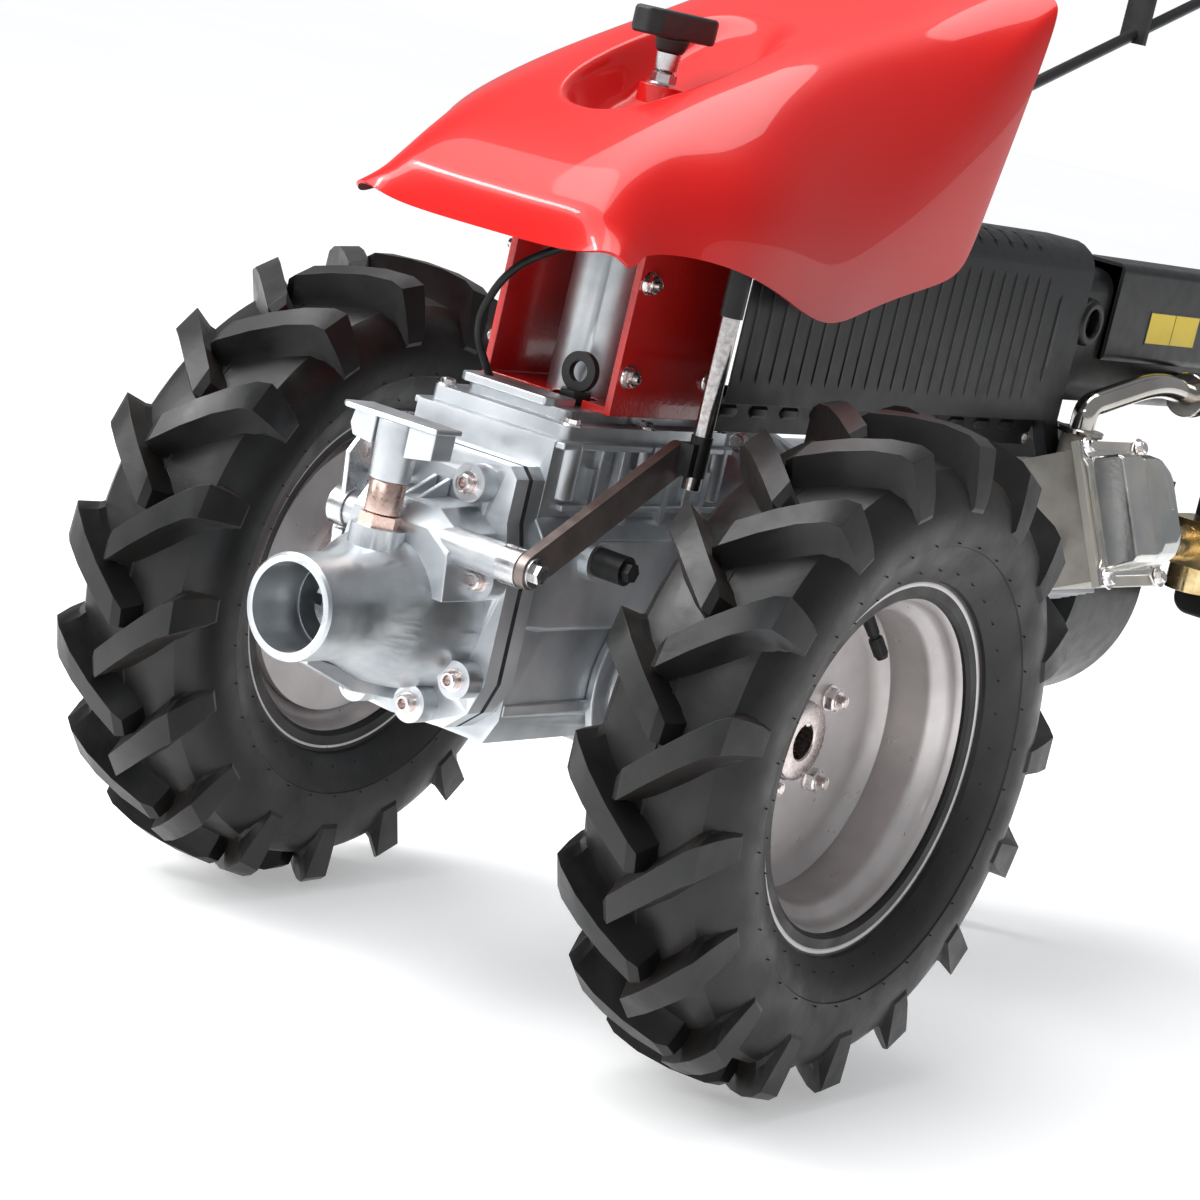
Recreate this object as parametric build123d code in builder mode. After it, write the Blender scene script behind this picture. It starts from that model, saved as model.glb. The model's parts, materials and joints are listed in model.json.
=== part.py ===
"""Walk-behind two-wheel tractor (tiller power unit): gearbox, engine, wheels and handlebars.

Frame: +X is the side of the exhaust and the gear rod, +Y runs from the power take-off to the
grips, +Z is up, and z = 0 is the floor. Every sketch is drawn from the wheel axle, and axle_y
moves the machine along Y so that the origin is under the middle of it.
"""

import os
from math import atan2, cos, degrees, hypot, radians, sin, tan

from build123d import *

# ---- driving dimensions, millimetres -------------------------------------------------------
tyre_radius = 258  # 5.0-10 farm tyre, so the axle is this high above the floor
track = 487  # between the middles of the two tyres
rim_width = 85
rim_radius = 127  # 10 inch bead seat
rim_wall = 3
stud_circle = 89
stud_radius = 5
axle_radius = 13.25
pto_z = 303  # height of the power take-off axis
pto_mouth = -348.6
pto_bore = 31.5
pto_pilot = 50  # length of the wider mouth that centres an implement
crank_z = 335  # height of the crankshaft and the input shaft
cylinder_tilt = 25  # degrees above the horizontal, towards +X
gearbox_half = 63.5
hitch_y = -267
shift_y, shift_z = -242, 361
lever_x = 112  # inner face of the power take-off lever
lever_end_y, lever_end_z = -92, 444
rod_x, rod_y = 128, -83
pivot_y = 60  # handlebar pivot post
clamp_y = -46  # handlebar clamp screw
tilt_y, tilt_z = 300, 850  # height hinge of the handlebars
grip_x, grip_end_y = 250, 1135
stand_y, stand_z = 560, 222
running = 0.05  # radial clearance of a turning shaft in its hole
axle_y = -(grip_end_y + 4 + pto_mouth) / 2
axle_z = tyre_radius


# ---- planes, each measured from the axle ---------------------------------------------------
def across(x):
    """Upright plane along the machine: local x is +Y, local y is +Z, normal +X."""
    return Plane(origin=(x, axle_y, 0), x_dir=(0, 1, 0), z_dir=(1, 0, 0))


def facing(y):
    """Upright plane across the machine: local x is +X, local y is +Z, normal -Y."""
    return Plane(origin=(0, axle_y + y, 0), x_dir=(1, 0, 0), z_dir=(0, -1, 0))


def level(z):
    """Level plane: local x is +X, local y is +Y, normal +Z."""
    return Plane(origin=(0, axle_y, z), x_dir=(1, 0, 0), z_dir=(0, 0, 1))


def spot(x, y, z):
    """A point measured from the axle's middle on the floor."""
    return (x, axle_y + y, z)


def both_sides(points):
    """The points and their mirror images across the machine's middle, as one closed outline."""
    return [*points, *[(-x, z) for x, z in reversed(points) if x]]


def disc(plane, where, radius, length, bore=0.0, mode=Mode.ADD):
    """A round bar or ring standing on a plane; a negative length goes against its normal."""
    with BuildSketch(plane) as outline:
        with Locations(where):
            Circle(radius)
            if bore:
                Circle(bore, mode=Mode.SUBTRACT)
    extrude(outline.sketch, amount=length, mode=mode)


def block(plane, low, high, length, mode=Mode.ADD, corner=0.0):
    """A plate between two opposite corners of a sketch plane."""
    with BuildSketch(plane) as outline:
        with Locations(((low[0] + high[0]) / 2, (low[1] + high[1]) / 2)):
            Rectangle(high[0] - low[0], high[1] - low[1])
        if corner:
            fillet(outline.vertices(), corner)
    extrude(outline.sketch, amount=length, mode=mode)


def hexagon(plane, where, flats, length):
    """A hexagon bar, such as a bolt's head."""
    with BuildSketch(plane) as outline:
        with Locations(where):
            RegularPolygon(flats / 2, 6, major_radius=False)
    extrude(outline.sketch, amount=length)


def tube(points, radius, inner=0.0, bend=0.0):
    """A round bar or pipe along a route with bent or mitred corners."""
    with BuildLine() as route:
        if bend:
            FilletPolyline(*points, radius=bend)
        else:
            Polyline(*points)
    start = Plane(origin=route.wire() @ 0, z_dir=route.wire() % 0)
    with BuildSketch(start) as section:
        Circle(radius)
        if inner:
            Circle(inner, mode=Mode.SUBTRACT)
    corners = Transition.TRANSFORMED if bend else Transition.RIGHT
    sweep(section.sketch, path=route.wire(), transition=corners)


made = []


def keep(piece, name):
    """Labels a finished piece and writes it."""
    piece.part.label = name
    export_step(piece.part, f"parts/{name}.step")
    made.append(name)


os.makedirs("parts", exist_ok=True)

# ---- gearbox -------------------------------------------------------------------------------
flange_half = [(0, 420), (55, 420), (63, 412), (63, 380), (75, 338), (75, 264), (66, 240)]
flange_half += [(48, 224), (0, 221)]
screw_spots = [(35, 402), (61, 338), (60, 264), (26, 236)]
screw_spots += [(-x, z) for x, z in screw_spots]
flange_bolt_r = 4.1
cover_bolts_at = [(x, y) for y in (-146, -50, 48) for x in (-58, 58)]


def flange_plate(y, thickness):
    """The shared outline of the power take-off joint, from plane y towards +Y."""
    with BuildSketch(facing(y)) as outline:
        Polygon(*both_sides(flange_half), align=None)
    extrude(outline.sketch, amount=-thickness)


with BuildPart() as gearbox_housing:
    flange_plate(-185, 15)
    body_half = [(0, 441), (gearbox_half, 441), (gearbox_half, 330), (70, 322), (70, 234)]
    body_half += [(60, 214), (0, 214)]
    with BuildSketch(facing(-170)):
        Polygon(*both_sides(body_half), align=None)
    extrude(amount=-230)
    disc(across(-66), (0, axle_z), 60, 132)
    for side in (-1, 1):
        for y in (-120, -70, -20, 30):
            block(level(318), (side * 70, y - 3), (side * gearbox_half, y + 3), 104)
    block(level(222), (-52, -158), (52, 48), 219, Mode.SUBTRACT)
    disc(across(-52), (0, axle_z), 54, 104, mode=Mode.SUBTRACT)
    disc(facing(-186), (0, pto_z), 44, -30, mode=Mode.SUBTRACT)
    disc(facing(48), (0, crank_z), 40, -13, mode=Mode.SUBTRACT)
    disc(facing(-186), (0, crank_z), 16, -30, mode=Mode.SUBTRACT)
    for side in (-1, 1):
        disc(across(side * 50), (0, axle_z), 45, side * 21, mode=Mode.SUBTRACT)
    for x, z in screw_spots:
        disc(facing(-186), (x, z), flange_bolt_r, -10, mode=Mode.SUBTRACT)
    for x, y in cover_bolts_at:
        disc(level(420), (x, y), 3.05, 22, mode=Mode.SUBTRACT)
    disc(across(gearbox_half), (-120, 359), 15, 27)
keep(gearbox_housing, "gearbox_housing")

with BuildPart() as gearbox_cover:
    block(level(441), (-63.5, -158), (63.5, 60), 11, corner=8)
    block(level(452), (-48, -140), (48, 44), 8, corner=10)
    disc(level(441), (0, clamp_y), 34, 159)
    for x, y in cover_bolts_at:
        disc(level(440), (x, y), 3.05, 13, mode=Mode.SUBTRACT)
    disc(level(440), (20, -95), 8.05, 21, mode=Mode.SUBTRACT)
keep(gearbox_cover, "gearbox_cover")

with BuildPart() as oil_dipstick:
    disc(level(400), (20, -95), 3, 60)
    disc(level(452), (20, -95), 8, 9)
    hexagon(level(461), (20, -95), 22, 9)
    with BuildSketch(facing(-92)):
        with Locations((20, 484)):
            Circle(15)
            Circle(8, mode=Mode.SUBTRACT)
    extrude(amount=6)
keep(oil_dipstick, "oil_dipstick")

with BuildPart() as pto_housing:
    with BuildSketch(across(0)):
        with BuildLine():
            Polyline(
                (pto_mouth, pto_z),
                (pto_mouth, pto_z + 36),
                (pto_mouth + 2, pto_z + 38),
                (-305, pto_z + 38),
                (-290, pto_z + 42),
                (-262, pto_z + 54),
                (-230, pto_z + 60),
                (-205, pto_z + 62),
                (-205, pto_z),
                close=True,
            )
        make_face()
    revolve(axis=Axis(spot(0, 0, pto_z), (0, 1, 0)))
    flange_plate(-205, 15)
    for x, z in screw_spots:
        disc(facing(-205), (x, z), 14, 17)
    disc(level(320), (0, hitch_y), 20, 41)
    disc(across(-44), (shift_y, shift_z), 13, 139)
    block(across(-5), (-246, 340), (-200, 361), 10)
    for side in (-1, 1):
        block(across(side * 44), (-250, 330), (-200, 345), side * 8)
    disc(facing(pto_mouth - 1), (0, pto_z), pto_bore, -(pto_pilot + 1), mode=Mode.SUBTRACT)
    disc(facing(pto_mouth - 1), (0, pto_z), pto_bore - 0.7, -100, mode=Mode.SUBTRACT)
    disc(facing(-251), (0, pto_z), 23.5, -28, mode=Mode.SUBTRACT)
    disc(facing(-225), (0, pto_z), 42, -40, mode=Mode.SUBTRACT)
    disc(level(pto_z), (0, hitch_y), 8 + running, 70, mode=Mode.SUBTRACT)
    disc(across(-60), (shift_y, shift_z), 8 + running, 170, mode=Mode.SUBTRACT)
    disc(level(361), (0, hitch_y), 17, 20, mode=Mode.SUBTRACT)
    for x, z in screw_spots:
        disc(facing(-223), (x, z), flange_bolt_r, -40, mode=Mode.SUBTRACT)
keep(pto_housing, "pto_housing")

with BuildPart() as pto_gasket:
    flange_plate(-190, 5)
    disc(facing(-191), (0, pto_z), 44, -8, mode=Mode.SUBTRACT)
    for x, z in screw_spots:
        disc(facing(-191), (x, z), flange_bolt_r, -8, mode=Mode.SUBTRACT)
keep(pto_gasket, "pto_gasket")

with BuildPart() as pto_screws:
    for x, z in screw_spots:
        disc(facing(-222), (x, z), 6.5, 8)
        disc(facing(-222), (x, z), 4, -45)
    for x, z in screw_spots:
        with BuildSketch(facing(-231)):
            with Locations((x, z)):
                RegularPolygon(3, 6, major_radius=False)
        extrude(amount=-5, mode=Mode.SUBTRACT)
keep(pto_screws, "pto_screws")

with BuildPart() as hitch_bush:
    hexagon(level(361), (0, hitch_y), 27, 10)
    disc(level(371), (0, hitch_y), 10.5, 20)
    disc(level(360), (0, hitch_y), 8 + running, 32, mode=Mode.SUBTRACT)
keep(hitch_bush, "hitch_bush")

with BuildPart() as axle_housings:
    for side in (-1, 1):
        disc(across(side * 70), (0, axle_z), 67, side * 8)
        disc(across(side * 70), (0, axle_z), 44.9, side * -14)
        with BuildSketch(level(axle_z)) as taper:
            Polygon((78 * side, 0), (78 * side, 50), (100 * side, 38), (168 * side, 34),
                    (168 * side, 0), align=None)
        revolve(taper.sketch, axis=Axis(spot(0, 0, axle_z), (1, 0, 0)))
        disc(across(side * 50), (0, axle_z), 20, side * 130, mode=Mode.SUBTRACT)
        disc(across(side * 148), (0, axle_z), 26, side * 30, mode=Mode.SUBTRACT)
keep(axle_housings, "axle_housings")

with BuildPart() as shaft_bearings:
    disc(facing(-250), (0, pto_z), 23.5, -18, 15 + running)
    disc(facing(48), (0, crank_z), 40, -12, 12 + running)
    for side in (-1, 1):
        disc(across(side * 148), (0, axle_z), 26, side * 14, axle_radius + running)
keep(shaft_bearings, "shaft_bearings")

with BuildPart() as rubber_seals:
    disc(facing(-232), (0, pto_z), 23.5, -6, 15 + running)
    for side in (-1, 1):
        disc(across(side * 162), (0, axle_z), 26, side * 6, axle_radius + running)
    disc(across(gearbox_half + 27), (-120, 359), 11, 25)
    hexagon(across(gearbox_half + 52), (-120, 359), 13, 6)
keep(rubber_seals, "rubber_seals")

# ---- shafts and gears ----------------------------------------------------------------------
with BuildPart() as pto_shaft:
    disc(facing(-296), (0, pto_z), 19, -30)
    disc(facing(-266), (0, pto_z), 15, -128)
    disc(facing(-152), (0, pto_z), 17.6, -14)
    for turn in (0, 90):
        with BuildSketch(facing(-297)):
            with Locations(Location((0, pto_z), turn)):
                Rectangle(8, 44)
        extrude(amount=-9, mode=Mode.SUBTRACT)
keep(pto_shaft, "pto_shaft")

with BuildPart() as input_shaft:
    disc(facing(-155), (0, crank_z), 9, -271)
    disc(facing(-152), (0, crank_z), 13.6, -14)
    disc(facing(-34), (0, crank_z), 30.5, -68)
    disc(facing(34), (0, crank_z), 12, -82)
    disc(facing(118), (0, crank_z), 55, -6)
keep(input_shaft, "input_shaft")

with BuildPart() as worm_wheel:
    disc(across(-11), (0, axle_z), 46, 22, axle_radius + running)
    disc(across(-24), (0, axle_z), 19, 48, axle_radius + running)
keep(worm_wheel, "worm_wheel")

# ---- hitch pin and shift lever -------------------------------------------------------------
with BuildPart() as hitch_pin:
    disc(level(329), (0, hitch_y), 8, 68)
    disc(level(394), (0, hitch_y), 14, 42)
    block(level(400), (-42, hitch_y - 11), (42, hitch_y + 11), 26, corner=4)
    block(level(436), (-34, hitch_y - 15), (34, hitch_y + 15), 5, corner=10)
keep(hitch_pin, "hitch_pin")

with BuildPart() as shift_shaft:
    disc(across(-60), (shift_y, shift_z), 8, lever_x + 60)
    disc(across(-58), (shift_y, shift_z), 15, 13.6)
    disc(across(95.4), (shift_y, shift_z), 14, 16.6)
    with BuildSketch(across(-50)):
        Polygon((-253, 370), (-258, 402), (-246, 417), (-236, 417), (-230, 370), align=None)
    extrude(amount=4)
    disc(across(lever_x + 8.1), (shift_y, shift_z), 11, 2)
    hexagon(across(lever_x + 10.1), (shift_y, shift_z), 13, 6)
keep(shift_shaft, "shift_shaft")

lever_length = hypot(lever_end_y - shift_y, lever_end_z - shift_z)
lever_slope = degrees(atan2(lever_end_z - shift_z, lever_end_y - shift_y))
with BuildPart() as pto_lever_arm:
    with BuildSketch(across(lever_x)):
        with Locations(((shift_y + lever_end_y) / 2, (shift_z + lever_end_z) / 2)):
            SlotCenterToCenter(lever_length, 26, rotation=lever_slope)
        with Locations((lever_end_y, lever_end_z)):
            Circle(5 + running, mode=Mode.SUBTRACT)
        with Locations((shift_y, shift_z)):
            Circle(8, mode=Mode.SUBTRACT)
    extrude(amount=8)
keep(pto_lever_arm, "pto_lever_arm")

with BuildPart() as pto_rod:
    disc(level(424), (rod_x + 0.5, rod_y), 7, 216)
keep(pto_rod, "pto_rod")

with BuildPart() as rod_clamp:
    disc(level(434), (rod_x + 0.5, rod_y), 7.9, 30)
    block(level(434), (rod_x - 7.7, rod_y - 14), (rod_x + 4, rod_y), 24)
    disc(across(lever_x - 3.3), (lever_end_y, lever_end_z), 5, 14)
    disc(across(lever_x - 3.3), (lever_end_y, lever_end_z), 8, 3)
    disc(level(552), (rod_x + 0.5, rod_y), 8.6, 60)
    disc(level(424), (rod_x + 0.5, rod_y), 7, 216, mode=Mode.SUBTRACT)
keep(rod_clamp, "rod_clamp")

# ---- hood and its bracket ------------------------------------------------------------------
with BuildPart() as hood_bracket:
    block(level(460), (-60, -105), (60, 30), 6)
    disc(level(459), (0, clamp_y), 34.2, 8, mode=Mode.SUBTRACT)
    disc(level(459), (20, -95), 17, 8, mode=Mode.SUBTRACT)
    for side in (-1, 1):
        block(across(side * 54), (-105, 466), (30, 640), side * 6)
    block(level(640), (-60, -105), (60, 96), 6)
    disc(level(639), (0, clamp_y), 8, 8, mode=Mode.SUBTRACT)
    disc(level(646), (0, pivot_y), 14, 52)
    disc(level(684), (0, clamp_y), 16.9, 14, 6 + running)
keep(hood_bracket, "hood_bracket")

hood_side = [(-225, 577), (-222, 592), (-183, 645), (-132, 676), (-45, 716), (49, 751)]
hood_side += [(127, 770), (274, 838), (220, 637), (217, 610), (86, 573), (22, 552), (-101, 581)]
hood_below = [(-221, 500), (-221, 582), (-101, 600), (100, 640), (262, 829.5), (330, 829.5)]
hood_below += [(330, 500)]
hood_plan = [(0, -226), (104, -226), (119, -205), (143, -100), (143, 280), (0, 280)]
hood_wall = 2.5
pocket_slope = radians(18)


def hood_form(inset):
    """The hood as a solid, each skin moved in by the inset; inside, it is open below and behind."""
    with BuildSketch(across(-160)) as side:
        Polygon(*hood_side, align=None)
        if inset:
            offset(amount=-inset, kind=Kind.INTERSECTION)
            Polygon(*hood_below, align=None)
    extrude(side.sketch, amount=320)
    with BuildSketch(level(480)) as plan:
        Polygon(*both_sides(hood_plan), align=None)
        if inset:
            offset(amount=-inset, kind=Kind.INTERSECTION)
            with Locations((0, 300)):
                Rectangle(2 * (143 - inset), 100)
    extrude(plan.sketch, amount=400, mode=Mode.INTERSECT)
    pocket_floor = Plane(
        origin=spot(0, -23, 702 - inset),
        x_dir=(0, cos(pocket_slope), sin(pocket_slope)),
        z_dir=(0, -sin(pocket_slope), cos(pocket_slope)),
    )
    with BuildSketch(pocket_floor) as pocket:
        SlotOverall(270 + 2 * inset, 78 + 2 * inset)
    extrude(pocket.sketch, amount=90, mode=Mode.SUBTRACT)


with BuildPart() as hood_inside:
    hood_form(hood_wall)

with BuildPart() as hood:
    hood_form(0)
    add(hood_inside.part, mode=Mode.SUBTRACT)
    disc(level(640), (0, clamp_y), 17, 90, mode=Mode.SUBTRACT)
keep(hood, "hood")

with BuildPart() as clamp_knob:
    disc(level(648), (0, clamp_y), 6, 80)
    hexagon(level(699), (0, clamp_y), 17, 9)
    disc(level(728), (0, clamp_y), 9, 8)
    with BuildSketch(facing(clamp_y - 46)):
        with Locations((0, 743)):
            RegularPolygon(10.5, 8, major_radius=False)
    extrude(amount=-92)
keep(clamp_knob, "clamp_knob")

# ---- control cable, from the left clip on the cover up under the hood ----------------------
cable_route = [(-34, -128, 463), (-44, -150, 500), (-30, -144, 546), (4, -124, 574), (38, -92, 588)]
cable_route += [(46, -50, 592)]
with BuildPart() as control_cable:
    with BuildLine() as cable_line:
        cable_points = [Vector(*spot(*p)) for p in cable_route]
        cable_bends = []
        for before, here, after in zip(cable_points, cable_points[1:], cable_points[2:]):
            turn = (here - before).get_angle(after - here)
            shorter = min((here - before).length, (after - here).length)
            cable_bends.append(0.45 * shorter / tan(radians(turn / 2)))
        FilletPolyline(*cable_points, radius=cable_bends)
    with BuildSketch(Plane(origin=cable_line.wire() @ 0, z_dir=cable_line.wire() % 0)):
        Circle(3)
    sweep(path=cable_line.wire())
keep(control_cable, "control_cable")

# ---- bell housing and engine ---------------------------------------------------------------
bell_bolts_at = [(118 * cos(radians(a)), crank_z + 118 * sin(radians(a))) for a in range(20, 380, 45)]
with BuildPart() as bell_housing:
    with BuildSketch(across(0)):
        with BuildLine():
            Polyline(
                (60, crank_z + 44), (60, crank_z + 62), (98, crank_z + 106), (98, crank_z + 134),
                (110, crank_z + 134), (110, crank_z + 96), (70, crank_z + 54), (70, crank_z + 44),
                close=True,
            )
        make_face()
    revolve(axis=Axis(spot(0, 0, crank_z), (0, 1, 0)))
    for x, z in bell_bolts_at:
        disc(facing(97), (x, z), 4.05, -20, mode=Mode.SUBTRACT)
keep(bell_housing, "bell_housing")

with BuildPart() as engine_adapter:
    disc(facing(110), (0, crank_z), 134, -10, 96)
    disc(facing(120), (0, crank_z), 108, -62, 98)
    disc(facing(182), (0, crank_z), 112, -8, 60)
    for x, z in bell_bolts_at:
        disc(facing(109), (x, z), 4.05, -20, mode=Mode.SUBTRACT)
keep(engine_adapter, "engine_adapter")

tilt = radians(cylinder_tilt)
head_y = 483


def cylinder_plane(distance):
    """Plane square to the cylinder bore; local x runs up across the bore, local y is +Y."""
    return Plane(
        origin=spot(distance * cos(tilt), head_y, crank_z + distance * sin(tilt)),
        x_dir=(-sin(tilt), 0, cos(tilt)),
        z_dir=(cos(tilt), 0, sin(tilt)),
    )


with BuildPart() as crankcase:
    with BuildSketch(facing(190)):
        with Locations((0, crank_z)):
            Circle(98)
    extrude(amount=-370)
    disc(facing(560), (0, crank_z), 70, -24)
    block(level(226), (-98, 200), (98, 560), 110)
    with BuildSketch(cylinder_plane(60)):
        Rectangle(98, 104)
    extrude(amount=98)
    for step in range(5):
        with BuildSketch(cylinder_plane(120 + 8 * step)):
            Rectangle(118, 116)
        extrude(amount=3)
    disc(facing(202), (0, crank_z), 86, -346, mode=Mode.SUBTRACT)
    disc(facing(189), (0, crank_z), 20 + running, -400, mode=Mode.SUBTRACT)
    with BuildSketch(cylinder_plane(50)):
        Circle(39)
    extrude(amount=112, mode=Mode.SUBTRACT)
    for side in (-1, 1):
        block(across(side * 62), (stand_y - 16, stand_z - 14), (stand_y, 230), side * 8)
        disc(across(side * 60), (stand_y, stand_z - 2), 12, side * 14)
        disc(across(side * 58), (stand_y, stand_z - 2), 6, side * 18, mode=Mode.SUBTRACT)
keep(crankcase, "crankcase")

with BuildPart() as cylinder_head:
    with BuildSketch(cylinder_plane(158)):
        Rectangle(112, 100)
    extrude(amount=52)
    with BuildSketch(cylinder_plane(210)):
        Rectangle(124, 116)
    extrude(amount=7)
    disc(level(457), (134, 500), 16, 23)
    disc(facing(533), (168, 392), 18, -17)
keep(cylinder_head, "cylinder_head")

with BuildPart() as valve_cover:
    with BuildSketch(cylinder_plane(217)):
        Rectangle(124, 116)
    extrude(amount=4)
    with BuildSketch(cylinder_plane(221)) as raised:
        Rectangle(102, 96)
        fillet(raised.vertices(), 16)
    extrude(amount=34)
keep(valve_cover, "valve_cover")

with BuildPart() as spark_plug:
    disc(facing(433), (168, 392), 6, 10)
    disc(facing(423), (168, 392), 10, 20)
keep(spark_plug, "spark_plug")

with BuildPart() as crankshaft:
    disc(facing(170), (0, crank_z), 20, -440)
    disc(facing(610), (0, crank_z), 16, -100)
    disc(facing(126), (0, crank_z), 80, -20)
    disc(facing(146), (0, crank_z), 88, -24)
keep(crankshaft, "crankshaft")

fan_y = 586
with BuildPart() as flywheel:
    disc(facing(fan_y + 34), (0, crank_z), 104, -46, 16)
    for turn in range(0, 360, 30):
        spoke = (78 * cos(radians(turn)), crank_z + 78 * sin(radians(turn)))
        with BuildSketch(facing(fan_y + 80)):
            with Locations(Location(spoke, turn)):
                Rectangle(44, 3)
        extrude(amount=-22)
keep(flywheel, "flywheel")

with BuildPart() as fan_housing:
    disc(facing(fan_y), (0, crank_z), 128, -128)
    block(facing(fan_y), (0, 350), (135, 440), -128)
    disc(facing(fan_y - 1), (0, crank_z), 70, -4, mode=Mode.SUBTRACT)
    disc(facing(fan_y + 2), (0, crank_z), 118, -124, mode=Mode.SUBTRACT)
    disc(facing(fan_y + 118), (0, crank_z), 60, -20, mode=Mode.SUBTRACT)
    for y in (fan_y + 8, fan_y + 90):
        block(facing(y), (-110, 440), (-40, 496), -12)
        disc(facing(y + 1), (0, crank_z), 118, -14, mode=Mode.SUBTRACT)
    block(level(496), (-145, fan_y), (-20, fan_y + 120), 4)
keep(fan_housing, "fan_housing")

with BuildPart() as recoil_starter:
    disc(facing(fan_y + 128), (0, crank_z), 92, -46)
    disc(facing(fan_y + 127), (0, crank_z), 86, -40, mode=Mode.SUBTRACT)
    for turn in range(0, 360, 30):
        slot_at = (58 * cos(radians(turn)), crank_z + 58 * sin(radians(turn)))
        with BuildSketch(facing(fan_y + 166)):
            with Locations(Location(slot_at, turn)):
                Rectangle(40, 6)
        extrude(amount=-12, mode=Mode.SUBTRACT)
    block(facing(fan_y + 140), (-96, 384), (-44, 416), -30)
    disc(facing(fan_y + 138), (-70, 400), 4, -40, mode=Mode.SUBTRACT)
keep(recoil_starter, "recoil_starter")

with BuildPart() as starter_handle:
    disc(facing(fan_y + 162), (-70, 400), 2.5, -20)
    block(facing(fan_y + 176), (-92, 391), (-48, 409), -18, corner=7)
keep(starter_handle, "starter_handle")

with BuildPart() as carburettor:
    block(facing(550), (146, 372), (190, 412), -6)
    disc(facing(550), (168, 392), 16, -140)
    disc(facing(549), (168, 392), 11, -120, mode=Mode.SUBTRACT)
    block(facing(690), (146, 372), (192, 414), -52)
    disc(level(348), (170, 716), 20, 24)
keep(carburettor, "carburettor")

with BuildPart() as air_cleaner:
    disc(facing(742), (170, 394), 18, -16)
    block(facing(758), (140, 320), (240, 450), -84, corner=16)
keep(air_cleaner, "air_cleaner")

with BuildPart() as fuel_tank:
    block(level(500), (-150, fan_y - 20), (-15, 800), 90, corner=20)
    disc(level(590), (-82, 740), 24, 8)
    block(level(510), (-140, fan_y - 10), (-25, 790), 72, Mode.SUBTRACT, corner=12)
    disc(level(575), (-82, 740), 19, 30, mode=Mode.SUBTRACT)
keep(fuel_tank, "fuel_tank")

with BuildPart() as fuel_cap:
    disc(level(598.4), (-82, 740), 30, 16)
    disc(level(588), (-82, 740), 18.5, 12)
keep(fuel_cap, "fuel_cap")

# ---- exhaust -------------------------------------------------------------------------------
with BuildPart() as exhaust_pipe:
    disc(level(480), (134, 500), 20, 5)
    tube([spot(134, 500, 484), spot(134, 500, 505), spot(150, 590, 533), spot(150, 660, 524)], 11)
    disc(facing(658), (150, 524), 20, -6)
keep(exhaust_pipe, "exhaust_pipe")

with BuildPart() as muffler:
    with BuildSketch(facing(70)):
        with Locations((92, 560)):
            SlotOverall(118, 40, rotation=90)
    extrude(amount=-710)
    disc(facing(664), (150, 524), 20, -6)
    tube([spot(150, 669, 524), spot(150, 684, 524), spot(96, 712, 526)], 11)
    disc(across(110), (445, 576), 10, 16)
    disc(across(114), (445, 576), 8, 16, mode=Mode.SUBTRACT)
keep(muffler, "muffler")

with BuildPart() as muffler_shield:
    block(facing(540), (66, 541), (118, 628), -256, corner=8)
    block(facing(539), (70, 500), (114, 624), -258, Mode.SUBTRACT)
keep(muffler_shield, "muffler_shield")

with BuildPart() as muffler_guard:
    with BuildSketch(facing(-50)):
        Polygon((120, 487), (120, 618), (113, 633), (98, 640), (66, 640), (66, 638), (97.5, 638),
                (111.5, 631.5), (118, 617.5), (118, 487), align=None)
    extrude(amount=-530)
    for y in range(-36, 470, 22):
        block(across(120), (y, 500), (y + 9, 612), 1.5)
    for y in range(-36, 470, 22):
        block(level(630), (76, y), (96, y + 9), 20, Mode.SUBTRACT)
    disc(across(114), (445, 576), 13, 10, mode=Mode.SUBTRACT)
    block(across(100), (-50, 462), (420, 497), 2)
    block(level(487), (102, -50), (119, 420), 2)
    for y in range(-30, 400, 40):
        block(across(99), (y, 474), (y + 22, 480), 4, Mode.SUBTRACT)
keep(muffler_guard, "muffler_guard")

# ---- hexagon bolts and screws of the still parts -------------------------------------------
with BuildPart() as hex_bolts:
    for x, y in cover_bolts_at:
        hexagon(level(452), (x, y), 10, 5)
        disc(level(426), (x, y), 3, 26)
    for side in (-1, 1):
        for y, z in ((-92, 490), (16, 490), (-92, 560)):
            hexagon(across(side * 60), (y, z), 13, side * 6)
    for x, z in bell_bolts_at:
        hexagon(facing(98), (x, z), 13, 6)
        disc(facing(98), (x, z), 4, -22)
    with BuildSketch(cylinder_plane(221)):
        with GridLocations(112, 98, 2, 2):
            RegularPolygon(5, 6)
    extrude(amount=6)
    for y in (-40, 130, 290, 408):
        disc(across(102), (y, 468), 4, 3)
keep(hex_bolts, "hex_bolts")

# ---- parking stand -------------------------------------------------------------------------
with BuildPart() as parking_stand:
    disc(across(-76), (stand_y, stand_z - 2), 6 - running, 152)
    for side in (-1, 1):
        tube([spot(side * 50, stand_y + 1, stand_z - 4), spot(side * 50, stand_y + 64, 11)], 10)
    tube([spot(-66, stand_y + 64, 10), spot(66, stand_y + 64, 10)], 10)
keep(parking_stand, "parking_stand")

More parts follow.
